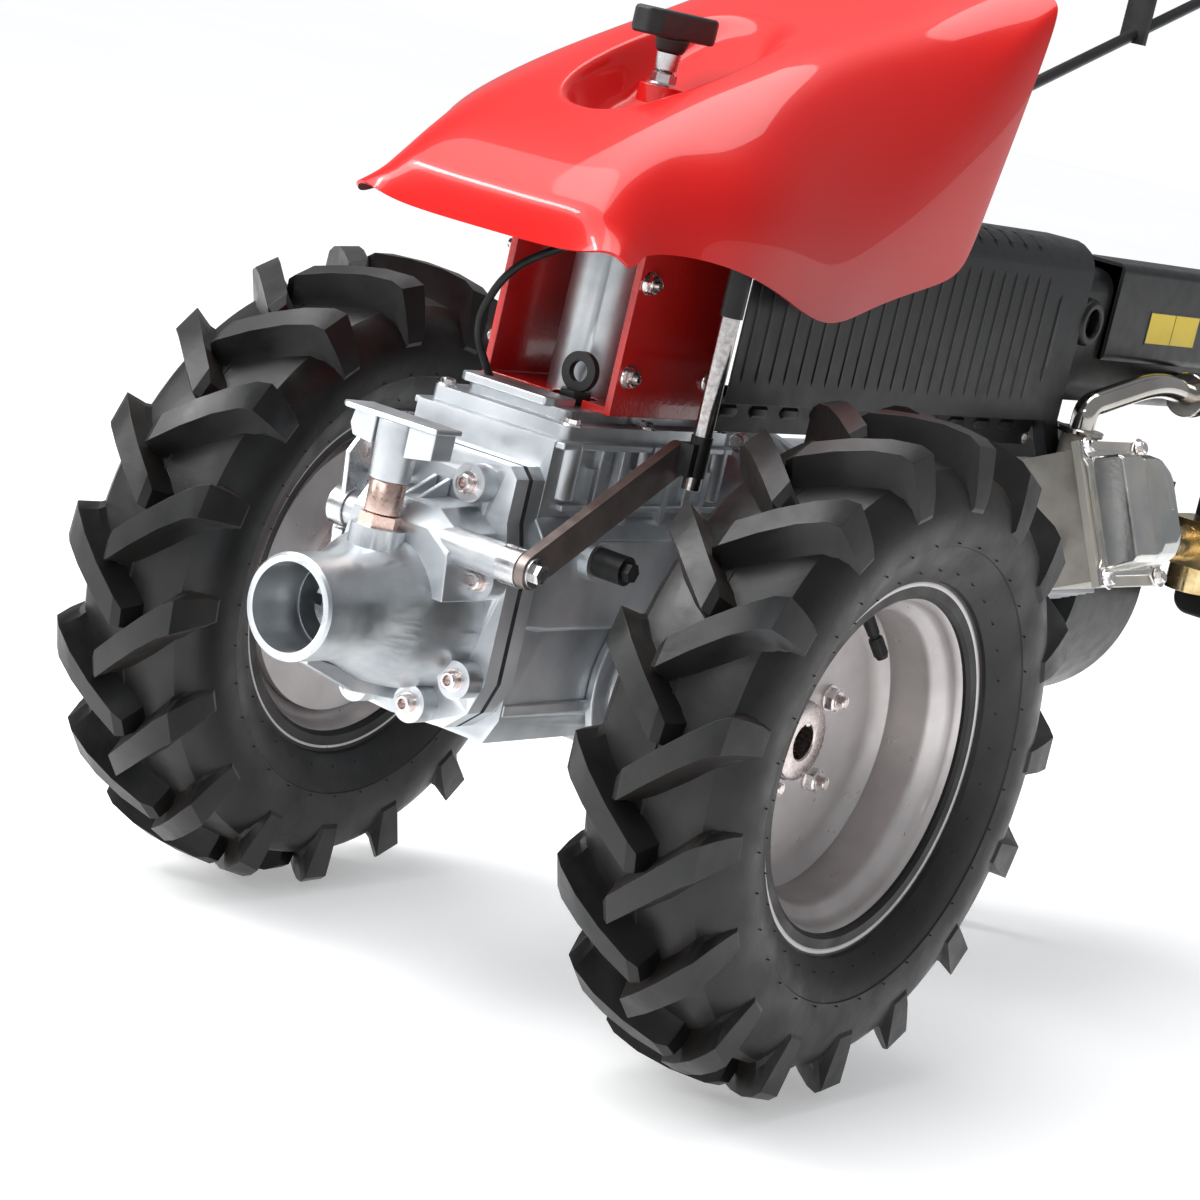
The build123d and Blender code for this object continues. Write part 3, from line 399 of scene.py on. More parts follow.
def tyre(side, name):
    """One tyre: the carcass, then both rows of lugs, then the mould's vents and ribs."""
    middle = Vector((side * wheel_middle, 0, axle_height))
    half = [(28, 128), (39.4, 128), (41.8, 131), (42.4, 140), (43.4, 143.6), (46.6, 144.6), (48.4, 147.2),
            (51.4, 152), (55.4, 159), (58.9, 168), (60.3, 173), (61.4, 173.6), (62.6, 181), (63.2, 188),
            (63, 195), (61.6, 203), (59, 212), (54.4, 220.5), (47, 227.5), (34, 231.6), (14, 233.4),
            (0.9, 233.8), (0.6, 234.8)]
    lining = [(0, 226), (40, 222), (54, 205), (57, 180), (50, 158), (36, 141), (28, 136)]
    outline = half + [(-t, r) for t, r in reversed(half)]
    inner = [(-t, r) for t, r in reversed(lining)] + lining[1:]
    bm = bmesh.new()
    lathe(bm, outline + inner, middle, (1, 0, 0), 136, closed=True)

    # Each row of a lug: its top's place along the axle and radius, the same for its foot, its lead
    # round the tyre, and the widths of its top and its foot.
    lug = [(-13, 253, -18, 230, -11, 15, 26), (-7, 257.4, -9, 231, -6, 23, 36),
           (14, 258, 14, 231.5, 13, 24, 40), (34, 256.6, 33, 230, 31, 25, 42),
           (50, 252.6, 45, 226, 45, 27, 44), (57.5, 247, 51, 219, 50, 28, 46),
           (60.6, 230, 55.5, 212, 52, 27, 43), (62.9, 214, 58.5, 204, 53, 25, 38),
           (63.6, 203, 61, 197, 53, 21, 30)]
    for hand, phase in ((1, 0.0), (-1, 0.5)):
        bars = bmesh.new()
        loops = []
        for t_top, r_top, t_foot, r_foot, lead, wide, foot in lug:
            t_waist, r_waist = t_foot + (t_top - t_foot) * 0.3, r_foot + (r_top - r_foot) * 0.3
            waist = wide + (foot - wide) * 0.4
            loops.append([(hand * t, r, s) for t, r, s in (
                (t_foot, r_foot, lead - foot * 0.56), (t_waist, r_waist, lead - waist * 0.53),
                (t_top, r_top, lead - wide / 2), (t_top, r_top, lead + wide / 2),
                (t_waist, r_waist, lead + waist * 0.5), (t_foot, r_foot, lead + foot * 0.5))])
        start = radians(160) - tau / lug_count * (phase + (0.3 if side < 0 else 0))
        placed = [[middle + Vector((t, cos(start - s / crown) * r, sin(start - s / crown) * r))
                   for t, r, s in loop]
                  for loop in loops]
        bar(bars, placed)
        bmesh.ops.recalc_face_normals(bars, faces=bars.faces)
        bmesh.ops.spin(bars, geom=bars.verts[:] + bars.edges[:] + bars.faces[:], cent=middle,
                       axis=(1, 0, 0), angle=tau * (lug_count - 1) / lug_count, steps=lug_count - 1,
                       use_duplicate=True)
        lugs = bpy.data.meshes.new("lugs")
        bars.to_mesh(lugs)
        bars.free()
        bm.from_mesh(lugs)

    # Moulding vents stand on the shoulders and sidewalls, and fine ribs run out over the shoulder.
    for hand in (1, -1):
        for index in range(2 * lug_count):
            turn = tau * (index + 0.35) / (2 * lug_count)
            out = Vector((0, cos(turn), sin(turn)))
            for radius, root, tip, thick in ((176, 61, 63.4, 0.7), (153, 51, 54, 0.6)):
                rod(bm, middle + out * radius + Vector((hand * root, 0, 0)),
                    middle + out * radius + Vector((hand * tip, 0, 0)), thick, 6)
        for index in range(lug_count):
            turn = tau * (index + 0.12) / lug_count
            slope = Matrix.Translation(middle) @ Matrix.Rotation(turn, 4, "X")
            slope = slope @ Matrix.Translation((hand * 52.7, 159, 0))
            slope = slope @ Matrix.Rotation(-hand * radians(32), 4,
                                            "Z") @ Matrix.Diagonal((1.2, 15, 0.8, 1))
            bmesh.ops.create_cube(bm, size=1, matrix=slope)
    piece(bm, f"lugged_tyre_{name}", finishes["tyre_rubber"], f"wheel_{name}", (f"tyre_{name}",),
          0.9, 2, 24)


def rim(side, name):
    """One wheel: the rolled rim with its dished disc, the valve, the hub, and the nuts on their studs."""
    middle = Vector((side * wheel_middle, 0, axle_height))
    axis = (side, 0, 0)
    shape = [(-42.6, 142), (-41.6, 143.4), (-39.8, 143), (-39.6, 138), (-37.4, 131), (-34, 128),
             (-27, 127.4), (-24, 124), (-20, 117), (-17, 115.5), (13, 115.5), (17, 117.5), (21, 124),
             (25, 127), (34, 128), (37.4, 131), (39.6, 138), (39.8, 143), (41.6, 143.8), (42.9, 142),
             (42.9, 139.4), (41.4, 136.8), (39.6, 134.6), (37.4, 129), (34.6, 125.6), (31, 124.6),
             (26.5, 124), (23, 121), (19.6, 114.6), (16.4, 112.6), (13, 112.4), (-17, 112.4), (-21.4, 114),
             (-25, 120), (-28, 124), (-34.6, 125.6), (-37.4, 129), (-39.6, 134.6), (-41.4, 136.8),
             (-42.6, 139.4)]
    bm = bmesh.new()
    lathe(bm, shape, middle, axis, 128, closed=True)
    # The disc: dished to the barrel with a rolled shoulder.
    disc = [(-30, 31), (-26.5, 31), (-26.5, 34), (-26.5, 96), (-25.6, 102), (-22.5, 108), (-18, 112.2),
            (-18, 113), (-28, 113), (-30, 100)]
    lathe(bm, disc, middle, axis, 128, closed=True)
    piece(bm, f"wheel_rim_{name}", finishes["rim_paint"], f"wheel_{name}", (f"rim_{name}",),
          sharp=40)

    # Valve: a rubber stem out of the barrel with a ribbed cap.
    bm = bmesh.new()
    foot, tip = middle + Vector((side * -13.5, 22, 110)), middle + Vector((side * 4.5, 42, 70))
    lathe(bm, [(-2, 0), (-2, 8), (2, 7.4), (7, 5.4), (27, 4.7), (28, 4.0), (31, 4.0), (31, 0)], foot,
          tip - foot, 28)
    cap = [(30, 0), (30, 5.2), (44, 5.2), (47, 4.2), (47, 0)]
    lathe(bm, cap, foot, tip - foot, 28)
    for ridge in range(14):
        along = (tip - foot).normalized()
        out = Matrix.Rotation(tau * ridge / 14, 3, along) @ along.orthogonal().normalized() * 5.1
        rod(bm, foot + along * 31 + out, foot + along * 44 + out, 0.6, 6)
    piece(bm, f"tyre_valve_{name}", finishes["rubber"], f"wheel_{name}", ())

    # Hub: keyed bore, spigot and flange, with the four stud ends, their nuts and washers.
    bm = bmesh.new()
    lathe(bm, [(-1.5, 13.25), (1.6, 13.25), (2.6, 14.4), (2.8, 27), (1.6, 29.6), (-1.8, 30), (-7, 30),
               (-7, 60), (-17, 60), (-17, 28), (-48.5, 28), (-48.5, 13.25)],
          middle + Vector((side * -22.5, 0, 0)), axis, 64, closed=True)
    keyway = [(-2.6, 12.4), (2.6, 12.4), (2.6, 15.6), (-2.6, 15.6)]
    slab(bm, [(side * (wheel_middle - 24.6), y, axle_height + up) for y, up in keyway], (side * 5, 0, 0))
    piece(bm, f"wheel_hub_{name}", finishes["zinc_fasteners"], f"wheel_{name}", (f"hub_{name}",),
          0.5, 2)
    bm = bmesh.new()
    for corner in range(4):
        turn = radians(45 + 90 * corner)
        at = Vector((side * 217.2, cos(turn) * stud_circle, axle_height + sin(turn) * stud_circle))
        lathe(bm, [(0, 5), (0, 10), (1.4, 10), (1.4, 5)], at, axis, 28, closed=True)
        hex_head(bm, at + Vector((side * 1.4, 0, 0)), axis, 16.6, 7.6, 0, chance.uniform(0, 1))
        stud(bm, at + Vector((side * 9, 0, 0)), axis, 4.9, 6.4)
    piece(bm, f"wheel_nuts_on_studs_{name}", finishes["zinc_fasteners"], f"wheel_{name}",
          (f"wheel_nuts_{name}",))


for side, name in ((1, "right"), (-1, "left")):
    tyre(side, name)
    rim(side, name)


# Hood: a pressed skin laid over its control lines, then given its pocket, its thickness and its clamp hole.
# Each row runs from the middle to the lower edge, from the front apron to the rear edge.
hood_rows = [
    [(0, -227, 578), (40, -227, 578), (72, -227, 579), (92, -228, 582), (106, -229, 587), (119, -226, 587),
     (125, -216, 577)],
    [(0, -224, 604), (40, -224, 604), (68, -223, 606), (86, -221, 607), (100, -214, 605), (113, -207, 597),
     (120, -200, 584)],
    [(0, -216, 616), (40, -216, 616), (68, -215, 617), (86, -214, 616), (100, -209, 611), (112, -203, 601),
     (119, -196, 587)],
    [(0, -186, 648), (38, -186, 648), (66, -187, 647), (88, -189, 640), (103, -188, 624), (112, -186, 607),
     (118, -180, 590)],
    [(0, -130, 680), (38, -131, 680), (66, -134, 678), (86, -147, 667), (101, -158, 651), (121, -154, 622),
     (127, -146, 592)],
    [(0, -70, 706), (38, -71, 706), (66, -74, 704), (84, -92, 692), (110, -122, 668), (147, -118, 638),
     (147, -108, 588)],
    [(0, -20, 727), (38, -20, 727), (66, -22, 725), (88, -36, 716), (117, -64, 692), (151, -62, 648),
     (149, -50, 574)],
    [(0, 35, 748), (38, 35, 748), (68, 34, 747), (90, 28, 741), (117, 4, 710), (146, 4, 648),
     (148, 20, 550)],
    [(0, 100, 769), (38, 100, 769), (72, 100, 768), (95, 98, 763), (122, 90, 730), (145, 92, 655),
     (142, 86, 572)],
    [(0, 170, 794), (38, 170, 794), (76, 170, 793), (102, 170, 788), (129, 167, 762), (146, 168, 716),
     (141, 160, 590)],
    [(0, 235, 821), (40, 235, 821), (80, 235, 820), (108, 235, 816), (132, 233, 801), (146, 228, 782),
     (140, 214, 602)],
    [(0, 276, 839), (42, 276, 839), (84, 276, 838), (112, 276, 835), (134, 273, 827), (143, 264, 812),
     (139, 226, 636)],
]


def hood_pressing():
    """The hood's lines made a smooth skin, sunk at the clamp, given its wall, and cut for the screw."""
    columns = 2 * len(hood_rows[0]) - 1
    bm = bmesh.new()
    bmesh.ops.create_grid(bm, x_segments=columns - 1, y_segments=len(hood_rows) - 1, size=1)
    bm.verts.ensure_lookup_table()
    for vert in bm.verts:
        column = round((vert.co.x + 1) / 2 * (columns - 1)) - columns // 2
        row = round((vert.co.y + 1) / 2 * (len(hood_rows) - 1))
        x, y, z = hood_rows[row][abs(column)]
        vert.co = (x if column > 0 else -x, y, z)
    mesh = bpy.data.meshes.new("hood_lines")
    bm.to_mesh(mesh)
    bm.free()
    lines = bpy.data.objects.new("hood_lines", mesh)
    bpy.context.collection.objects.link(lines)
    lines.modifiers.new("smooth", "SUBSURF").levels = 4
    fine = bmesh.new()
    smoothed = lines.evaluated_get(bpy.context.evaluated_depsgraph_get())
    fine.from_mesh(bpy.data.meshes.new_from_object(smoothed))
    bpy.data.objects.remove(lines)
    for vert in fine.verts:
        x, y = vert.co.xy
        out = (abs(x / 49) ** 2.4 + abs((y + 24) / 112) ** 2.4) ** (1 / 2.4)
        if out < 1.06:
            slope = min(1, max(0, (1.06 - out) / 0.36))
            depth = 40 * min(1, max(0, (84 - y) / 120))
            vert.co.z -= depth * slope * slope * (3 - 2 * slope)
    bmesh.ops.recalc_face_normals(fine, faces=fine.faces)
    if sum(face.normal.z for face in fine.faces) < 0:
        bmesh.ops.reverse_faces(fine, faces=fine.faces)
    bmesh.ops.transform(fine, matrix=to_row, verts=fine.verts)
    skin = bpy.data.meshes.new("hood_skin")
    fine.to_mesh(skin)
    fine.free()
    shell = bpy.data.objects.new("hood_shell", skin)
    bpy.context.collection.objects.link(shell)
    skin.materials.append(finishes["red_hood"])
    # The inner wall faces take the darker red: painted shade under the hood.
    skin.materials.append(shaded_hood_inside)
    wall = shell.modifiers.new("wall", "SOLIDIFY")
    wall.thickness, wall.offset, wall.material_offset, wall.material_offset_rim = 0.0026, -1, 1, 0

    hole = bmesh.new()
    rod(hole, (0, clamp_y + 4, 640), (0, clamp_y + 4, 720), 20, 40)
    bmesh.ops.transform(hole, matrix=to_row, verts=hole.verts)
    hole_mesh = bpy.data.meshes.new("clamp_hole")
    hole.to_mesh(hole_mesh)
    hole.free()
    cutter = bpy.data.objects.new("clamp_hole", hole_mesh)
    bpy.context.collection.objects.link(cutter)
    cut = shell.modifiers.new("clamp_hole", "BOOLEAN")
    cut.operation, cut.object, cut.solver = "DIFFERENCE", cutter, "EXACT"
    final = bpy.data.meshes.new_from_object(shell.evaluated_get(bpy.context.evaluated_depsgraph_get()))
    final.name = "hood_pressing"
    bpy.data.objects.remove(shell)
    bpy.data.objects.remove(cutter)
    made = bpy.data.objects.new("hood_pressing", final)
    bpy.context.collection.objects.link(made)
    dress(made, "chassis", ("hood",), 0, 1, 60)


hood_pressing()

# Castings, plates and pressings keep their CAD shape and get rounded edges.
for node, finish, width in (
    ("gearbox_housing", "cast_aluminium", 1.6), ("gearbox_cover", "cast_aluminium", 1.6),
    ("axle_housings", "cast_aluminium", 2.0),
    ("bell_housing", "cast_aluminium", 1.4), ("engine_adapter", "cast_aluminium", 1.4),
    ("crankcase", "cast_aluminium", 1.2), ("cylinder_head", "cast_iron", 1.2),
    ("shift_shaft", "machined_steel", 0.5), ("hood_bracket", "red_paint", 0.8),
    ("pto_lever_arm", "raw_steel", 0.5), ("muffler_shield", "black_powder_coat", 9.0),
    ("air_cleaner", "black_plastic", 6.0), ("console", "black_plastic", 4.0),
    ("fuel_tank", "black_plastic", 8.0), ("fan_housing", "black_powder_coat", 3.0),
    ("recoil_starter", "black_plastic", 2.0), ("carburettor", "brass_bowl", 1.0),
    ("mast", "black_powder_coat", 1.5),
):
    softened(node, finishes[finish], width)


# The take-off rod and its sleeve end under the hood, low enough to clear it when the lever is up.
for node, finish, top in (("rod_clamp", "black_powder_coat", 0.596), ("pto_rod", "chrome", 0.606)):
    made = softened(node, finishes[finish], 0.8)
    for vert in made.data.vertices:
        vert.co.z = min(vert.co.z, top)


def turned(centre, normal):
    """The power take-off tube is turned on its end, and blued in its bore."""
    if centre.y < -296 and (centre.x ** 2 + (centre.z - take_off_height) ** 2) ** 0.5 < 32.2:
        return 2
    return 1 if centre.y < -347 else 0


softened("pto_housing", (finishes["cast_aluminium"], finishes["machined_steel"], bore_blue), 1.5,
         machined=turned)


def flange_screws():
    """The eight socket screws round the power take-off flange."""
    screws = bmesh.new()
    for x, z in ((35, 402), (61, 338), (60, 264), (26, 236)):
        for hand in (1, -1):
            socket_head(screws, (hand * x, take_off_flange, z), (0, -1, 0), 6.5, 8)
    piece(screws, "flange_socket_screws", finishes["zinc_fasteners"], "chassis", ("pto_screws",))


flange_screws()


# The cylinder leans out, and its head is laid out square to the bore.
tilt = radians(25)
bore_out = Vector((cos(tilt), 0, sin(tilt)))
bore_up = Vector((-sin(tilt), 0, cos(tilt)))
head_middle = Vector((0, 483, crank_height))


def on_head(out, up, along):
    return head_middle + bore_out * out + bore_up * up + Vector((0, along, 0))


def hexagon_bolts():
    """The bolts and screws of the still parts, with their washers."""
    bolts = bmesh.new()
    # Gearbox cover, hood bracket, bell housing, guard strip and valve cover, in this order.
    for x in (-58, 58):
        for y in (-146, -50, 48):
            hex_head(bolts, (x, y, 452), (0, 0, 1), 10, 5.4, 8, chance.uniform(0, 1))
    for hand in (-1, 1):
        for y, z in ((-92, 490), (16, 490), (-92, 560)):
            hex_head(bolts, (hand * 60, y, z), (hand, 0, 0), 13, 6.5, 9, chance.uniform(0, 1))
            stud(bolts, (hand * 66, y, z), (hand, 0, 0), 3.6, 4)
    for turn in range(20, 380, 45):
        x, z = cos(radians(turn)) * 118, crank_height + sin(radians(turn)) * 118
        hex_head(bolts, (x, 98, z), (0, -1, 0), 13, 6.5, 9, chance.uniform(0, 1))
    for y in (-40, 130, 290, 462):
        dome = [(0, 0), (0, 5.4), (1, 5.4), (2.6, 4.2), (3.4, 2.4), (2.2, 2.2), (2.2, 0)]
        lathe(bolts, dome, (102, y, 468), (1, 0, 0), 20)
    for up, along in ((56, 49), (56, -49), (-56, 49), (-56, -49)):
        hex_head(bolts, on_head(221, up, along), bore_out, 10, 6, 9, chance.uniform(0, 1))
    piece(bolts, "hexagon_bolts", finishes["zinc_fasteners"], "chassis", ("hex_bolts",))


hexagon_bolts()


def valve_cover():
    """A pressed flange with four ears, a flat-faced box on one side and a dome on the other."""
    cover = bmesh.new()
    rim_line = [(62, -58), (62, -42), (54, -36), (54, 36), (62, 42), (62, 58), (46, 58), (40, 52),
                (-40, 52), (-46, 58), (-62, 58), (-62, 42), (-54, 36), (-54, -36), (-62, -42), (-62, -58),
                (-46, -58), (-40, -52), (40, -52), (46, -58)]
    slab(cover, [on_head(217, up, along) for up, along in rim_line], bore_out * 3.4)
    piece(cover, "valve_cover_flange", finishes["zinc_pressing"], "chassis", ("valve_cover",),
          1.4, 2)
    cover = bmesh.new()
    box = [(48, -47), (48, -4), (-48, -4), (-48, -47)]
    bar(cover, [[on_head(out, up * grow, (along + 26) * grow - 26) for up, along in box]
                for out, grow in ((219, 1.0), (246, 0.95), (251, 0.86))])
    dome = [(49, -8), (49, 30), (36, 47), (-36, 47), (-49, 30), (-49, -8)]
    bar(cover, [[on_head(out, up * grow, (along - 16) * grow + 16) for up, along in dome]
                for out, grow in ((219, 1.0), (238, 0.97), (250, 0.84), (254.6, 0.62))])
    slab(cover, [on_head(250, up, along) for up, along in ((30, 14), (30, 24), (-4, 30), (-4, 20))],
         bore_out * 4.8)
    piece(cover, "valve_cover_pressing", finishes["zinc_pressing"], "chassis", (), 5.0, 4,
          22)


valve_cover()


def hitch_pin():
    """The barrel with two short arms under a thin cap plate, over its turned bush."""
    grip = bmesh.new()
    rod(grip, (0, hitch_y, 329), (0, hitch_y, 396), 8)
    lathe(grip, [(394, 0), (394, 14), (396, 14.6), (414, 15.4), (432, 16), (437, 16), (437, 0)],
          (0, hitch_y, 0), (0, 0, 1), 40)
    slab(grip, [(16, -279, 414), (40, -279, 418), (40, -279, 437), (16, -279, 437)], (0, 24, 0))
    slab(grip, [(-16, -276, 416), (-34, -276, 418), (-38, -276, 426), (-36, -276, 437), (-16, -276, 437)],
         (0, 18, 0))
    slab(grip, [(-44, -279, 437), (-38, -285, 437), (42, -282, 437), (44, -254, 437), (-40, -252, 437)],
         (0, 0, 4))
    piece(grip, "hitch_pin_handle", finishes["cast_aluminium"], "hitch_pin", ("hitch_pin",),
          1.2, 2, 40)
    bush = bmesh.new()
    hex_head(bush, (0, hitch_y, 361), (0, 0, 1), 27, 10, 0, 0.3)
    lathe(bush, [(371, 9), (371, 13.2), (392.6, 13.2), (393.6, 12.4), (393.6, 9)], (0, hitch_y, 0),
          (0, 0, 1), 40, closed=True)
    piece(bush, "hitch_pin_bush", finishes["copper"], "chassis", ("hitch_bush",), sharp=40)


hitch_pin()


def cast_details():
    """The chest over the take-off dome with its webs, then the gearbox's shoulders, flanges and pockets."""
    cast = bmesh.new()
    bar(cast, [[(-40, y, 322), (-40 + top * 0.2, y, 352), (-34, y, z), (34, y, z), (56, y, z - 14),
                (60, y, 322)]
               for y, z, top in ((-204, 385, 0), (-246, 383, 8), (-257, 368, 20))])
    for hand in (-1, 1):
        bar(cast, [[(hand * x, y - w, z), (hand * x, y + w, z), (hand * (x + 3), y + w, z + h),
                    (hand * (x + 3), y - w, z + h)]
                   for x, y, z, w, h in ((34, -270, 290, 3, 6), (46, -236, 286, 4, 8),
                                         (56, -206, 284, 5, 10))])
        slab(cast, [(hand * 4, -262, 372), (hand * 4, -206, 398), (hand * 4, -206, 360),
                    (hand * 4, -262, 358)],
             (hand * 4, 0, 0))
    bar(cast, [[(-5, y, z), (5, y, z), (5, y, z + h), (-5, y, z + h)]
               for y, z, h in ((-320, 262, 6), (-262, 240, 14), (-206, 231, 14))])
    piece(cast, "take_off_webs", finishes["cast_aluminium"], "chassis", (), 2.6, 3, 22)
    cast = bmesh.new()
    for hand in (-1, 1):
        bar(cast, [[(hand * 60, y, 296), (hand * out, y, 306), (hand * (out + 1), y, 372),
                    (hand * 60, y, 388)]
                   for y, out in ((-172, 72), (-150, 81), (-20, 81), (24, 70))])
        for y in (-146, -50, 48):
            rod(cast, (hand * 62, y, 398), (hand * 60.5, y, 441), 9, 28, 10)
        slab(cast, [(hand * 62, -168, 436), (hand * 70, -166, 436), (hand * 70, 58, 436),
                    (hand * 62, 60, 436)], (0, 0, 5.4))
        slab(cast, [(hand * 62, -150, 390), (hand * 68.5, -150, 390), (hand * 68.5, 56, 390),
                    (hand * 62, 56, 390)], (0, 0, 5))
        for y in (-112, -84, -22, 8, 30):
            slab(cast, [(hand * 62, y, 392), (hand * 67.5, y, 394), (hand * 67.5, y, 438),
                        (hand * 62, y, 440)], (0, 3, 0))
        bar(cast, [[(hand * 56, y, 218), (hand * x, y, 238), (hand * x, y, 246), (hand * 56, y, 252)]
                   for y, x in ((-168, 71), (-60, 73.5), (-30, 73.5))])
    slab(cast, [(-50, -142, 459), (-44, -146, 459), (30, -146, 459), (34, -138, 459), (34, -112, 459),
                (-50, -112, 459)],
         (0, 0, 7))
    piece(cast, "gearbox_shoulders", finishes["cast_aluminium"], "chassis", (), 1.8, 3,
          24)


cast_details()


def muffler_guard():
    """One folded sheet with fine pressed ribs, one deep slot, a slotted shoulder and a lower strip."""
    guard = bmesh.new()
    fold = [(120, 487), (120, 616), (117.6, 625), (112, 633), (104, 638), (97, 640), (66, 640), (66, 638.4),
            (97, 638.4), (103.4, 636.6), (110.8, 631.8), (116.2, 624.4), (118.4, 616), (118.4, 487)]
    slab(guard, [(x, guard_front, z) for x, z in fold], (0, guard_back - guard_front, 0))
    piece(guard, "guard_sheet", finishes["black_powder_coat"], "chassis", ("muffler_guard",),
          0.5, 2, 50)
    guard = bmesh.new()
    for y in range(-36, 420, 20):
        bar(guard, [[(119.6, y - w, z), (119.6 + h, y - w * 0.4, z), (119.6 + h, y + w * 0.4, z),
                     (119.6, y + w, z)]
                    for z, w, h in ((502, 0.6, 0.3), (508, 2.2, 1.3), (604, 2.2, 1.3), (611, 0.6, 0.3))])
    for y in range(-30, 400, 26):
        bar(guard, [[(x, y - w, z), (x, y + w, z), (x + h * 0.7, y + w * 0.6, z + h),
                     (x + h * 0.7, y - w * 0.6, z + h)]
                    for x, z, w, h in ((117, 624, 1, 0.4), (112, 631, 4, 2.0), (100, 637.5, 4, 2.2),
                                       (88, 639, 4, 1.6), (82, 639, 1, 0.4))])
    lathe(guard, [(0, 0), (0, 4.6), (1.3, 3.6), (1.3, 0)], (119.9, 432, 530), (1, 0, 0), 20)
    bar(guard, [[(119.6, 432 - w, z), (119.6 + h, 432 - w * 0.5, z), (119.6 + h, 432 + w * 0.5, z),
                 (119.6, 432 + w, z)]
                for z, w, h in ((520, 1.5, 0.5), (524, 5, 1.5), (590, 5, 1.5), (595, 1.5, 0.5))])
    slab(guard, [(102, guard_front, 462), (102, 462, 462), (102, 472, 480), (102, 472, 497),
                 (102, guard_front, 497)], (-1.6, 0, 0))
    slab(guard, [(102, guard_front, 488), (119, guard_front, 488), (119, 470, 488), (102, 470, 488)],
         (0, 0, 1.6))
    for y in range(guard_front + 20, 450, 44):
        bar(guard, [[(101.8, along, 478 - w), (101.8 + h, along, 478 - w * 0.5),
                     (101.8 + h, along, 478 + w * 0.5), (101.8, along, 478 + w)]
                    for along, w, h in ((y, 1.5, 0.6), (y + 4, 5, 2.2), (y + 24, 5, 2.2),
                                        (y + 28, 1.5, 0.6))])
    piece(guard, "guard_pressings", finishes["black_powder_coat"], "chassis", (), 0.4,
          2, 24)


muffler_guard()


def guard_fittings():
    """The ring lug, the curved bracket, and the blank label on the shield."""
    lug = bmesh.new()
    lathe(lug, [(0, 12), (0, 19), (3, 20.5), (9, 20.5), (12, 18), (12, 12.5), (9, 11.5), (2, 11.5)],
          (110, 497, 574), (1, 0, 0), 48, closed=True)
    slab(lug, [(111, 468, 560), (111, 500, 554), (111, 506, 594), (111, 468, 598)], (3, 0, 0))
    strap = [(462, 494), (474, 486), (486, 468), (500, 452), (514, 436), (520, 420), (520, 404)]
    bar(lug, [[(104, y - 11, z - 3), (104, y + 9, z + 5), (118, y + 9, z + 5), (118, y - 11, z - 3)]
              for y, z in strap])
    piece(lug, "guard_bracket", finishes["black_powder_coat"], "chassis", (), 2.4, 3)
    label = bmesh.new()
    slab(label, [(118.15, 610, 560), (118.15, 712, 560), (118.15, 712, 590), (118.15, 610, 590)],
         (0.25, 0, 0))
    piece(label, "label_border", finishes["black_plastic"], "chassis")
    label = bmesh.new()
    for start, end in ((611.6, 660.4), (662, 710.4)):
        slab(label, [(118.3, start, 561.4), (118.3, end, 561.4), (118.3, end, 588.6),
                     (118.3, start, 588.6)], (0.3, 0, 0))
    piece(label, "blank_label", label_yellow, "chassis")


guard_fittings()


def exhaust():
    """A bent pipe between two flanges, the muffler's rolled can, and the bend that leads into it."""
    bent = bmesh.new()
    pipe(bent, [(134, 500, 484), (134, 500, 505), (150, 590, 533), (150, 660, 524)], 11)
    lathe(bent, [(0, 0), (0, 19), (1, 20), (4, 20), (5, 19), (5, 0)], (134, 500, 480), (0, 0, 1), 40)
    flange = [(0, 0), (0, 19), (1, 20), (5, 20), (6, 19), (6, 0)]
    lathe(bent, flange, (150, 658, 524), (0, -1, 0), 40)
    piece(bent, "bent_exhaust_pipe", polished_pipe, "chassis", ("exhaust_pipe",),
          sharp=40)
    can = bmesh.new()
    turns = [(turn, 39) for turn in range(0, 180, 12)] + [(turn, -39) for turn in range(180, 361, 12)]
    slab(can, [(92 + cos(radians(turn)) * 20, 70, 560 + shift + sin(radians(turn)) * 20)
               for turn, shift in turns], (0, 710, 0))
    lathe(can, flange, (150, 664, 524), (0, 1, 0), 40)
    pipe(can, [(150, 669, 524), (150, 690, 524), (96, 716, 526)], 11)
    piece(can, "muffler_can", finishes[slot_of("muffler")], "chassis", ("muffler",),
          2.0, 3, 40)


exhaust()


def clamp_knob():
    """A moulded T with cut corners on a turned steel neck, its nut and its screw."""
    knob = bmesh.new()
    slab(knob, [(-7, -92, 733), (7, -92, 733), (13, -82, 733), (13, -10, 733), (7, 0, 733), (-7, 0, 733),
                (-13, -10, 733), (-13, -82, 733)], (0, 0, 20))
    rod(knob, (0, clamp_y, 722), (0, clamp_y, 734), 10, 32, 14)
    piece(knob, "clamp_knob_grip", finishes["black_plastic"], "clamp_knob", ("clamp_knob",),
          3.0, 2, 24)
    knob = bmesh.new()
    lathe(knob, [(648, 0), (648, 5.6), (699, 5.8), (708, 5.8), (710, 8.6), (722, 9.4), (722, 0)],
          (0, clamp_y, 0), (0, 0, 1), 32)
    hex_head(knob, (0, clamp_y, 699), (0, 0, 1), 17, 9, 11)
    piece(knob, "clamp_knob_neck", finishes["machined_steel"], "clamp_knob", ())


clamp_knob()


# Every other CAD node keeps its shape and takes the finish of its slot.
for name, node in frame["nodes"].items():
    node.material_slots[0].material = finishes[slot_of(name)]


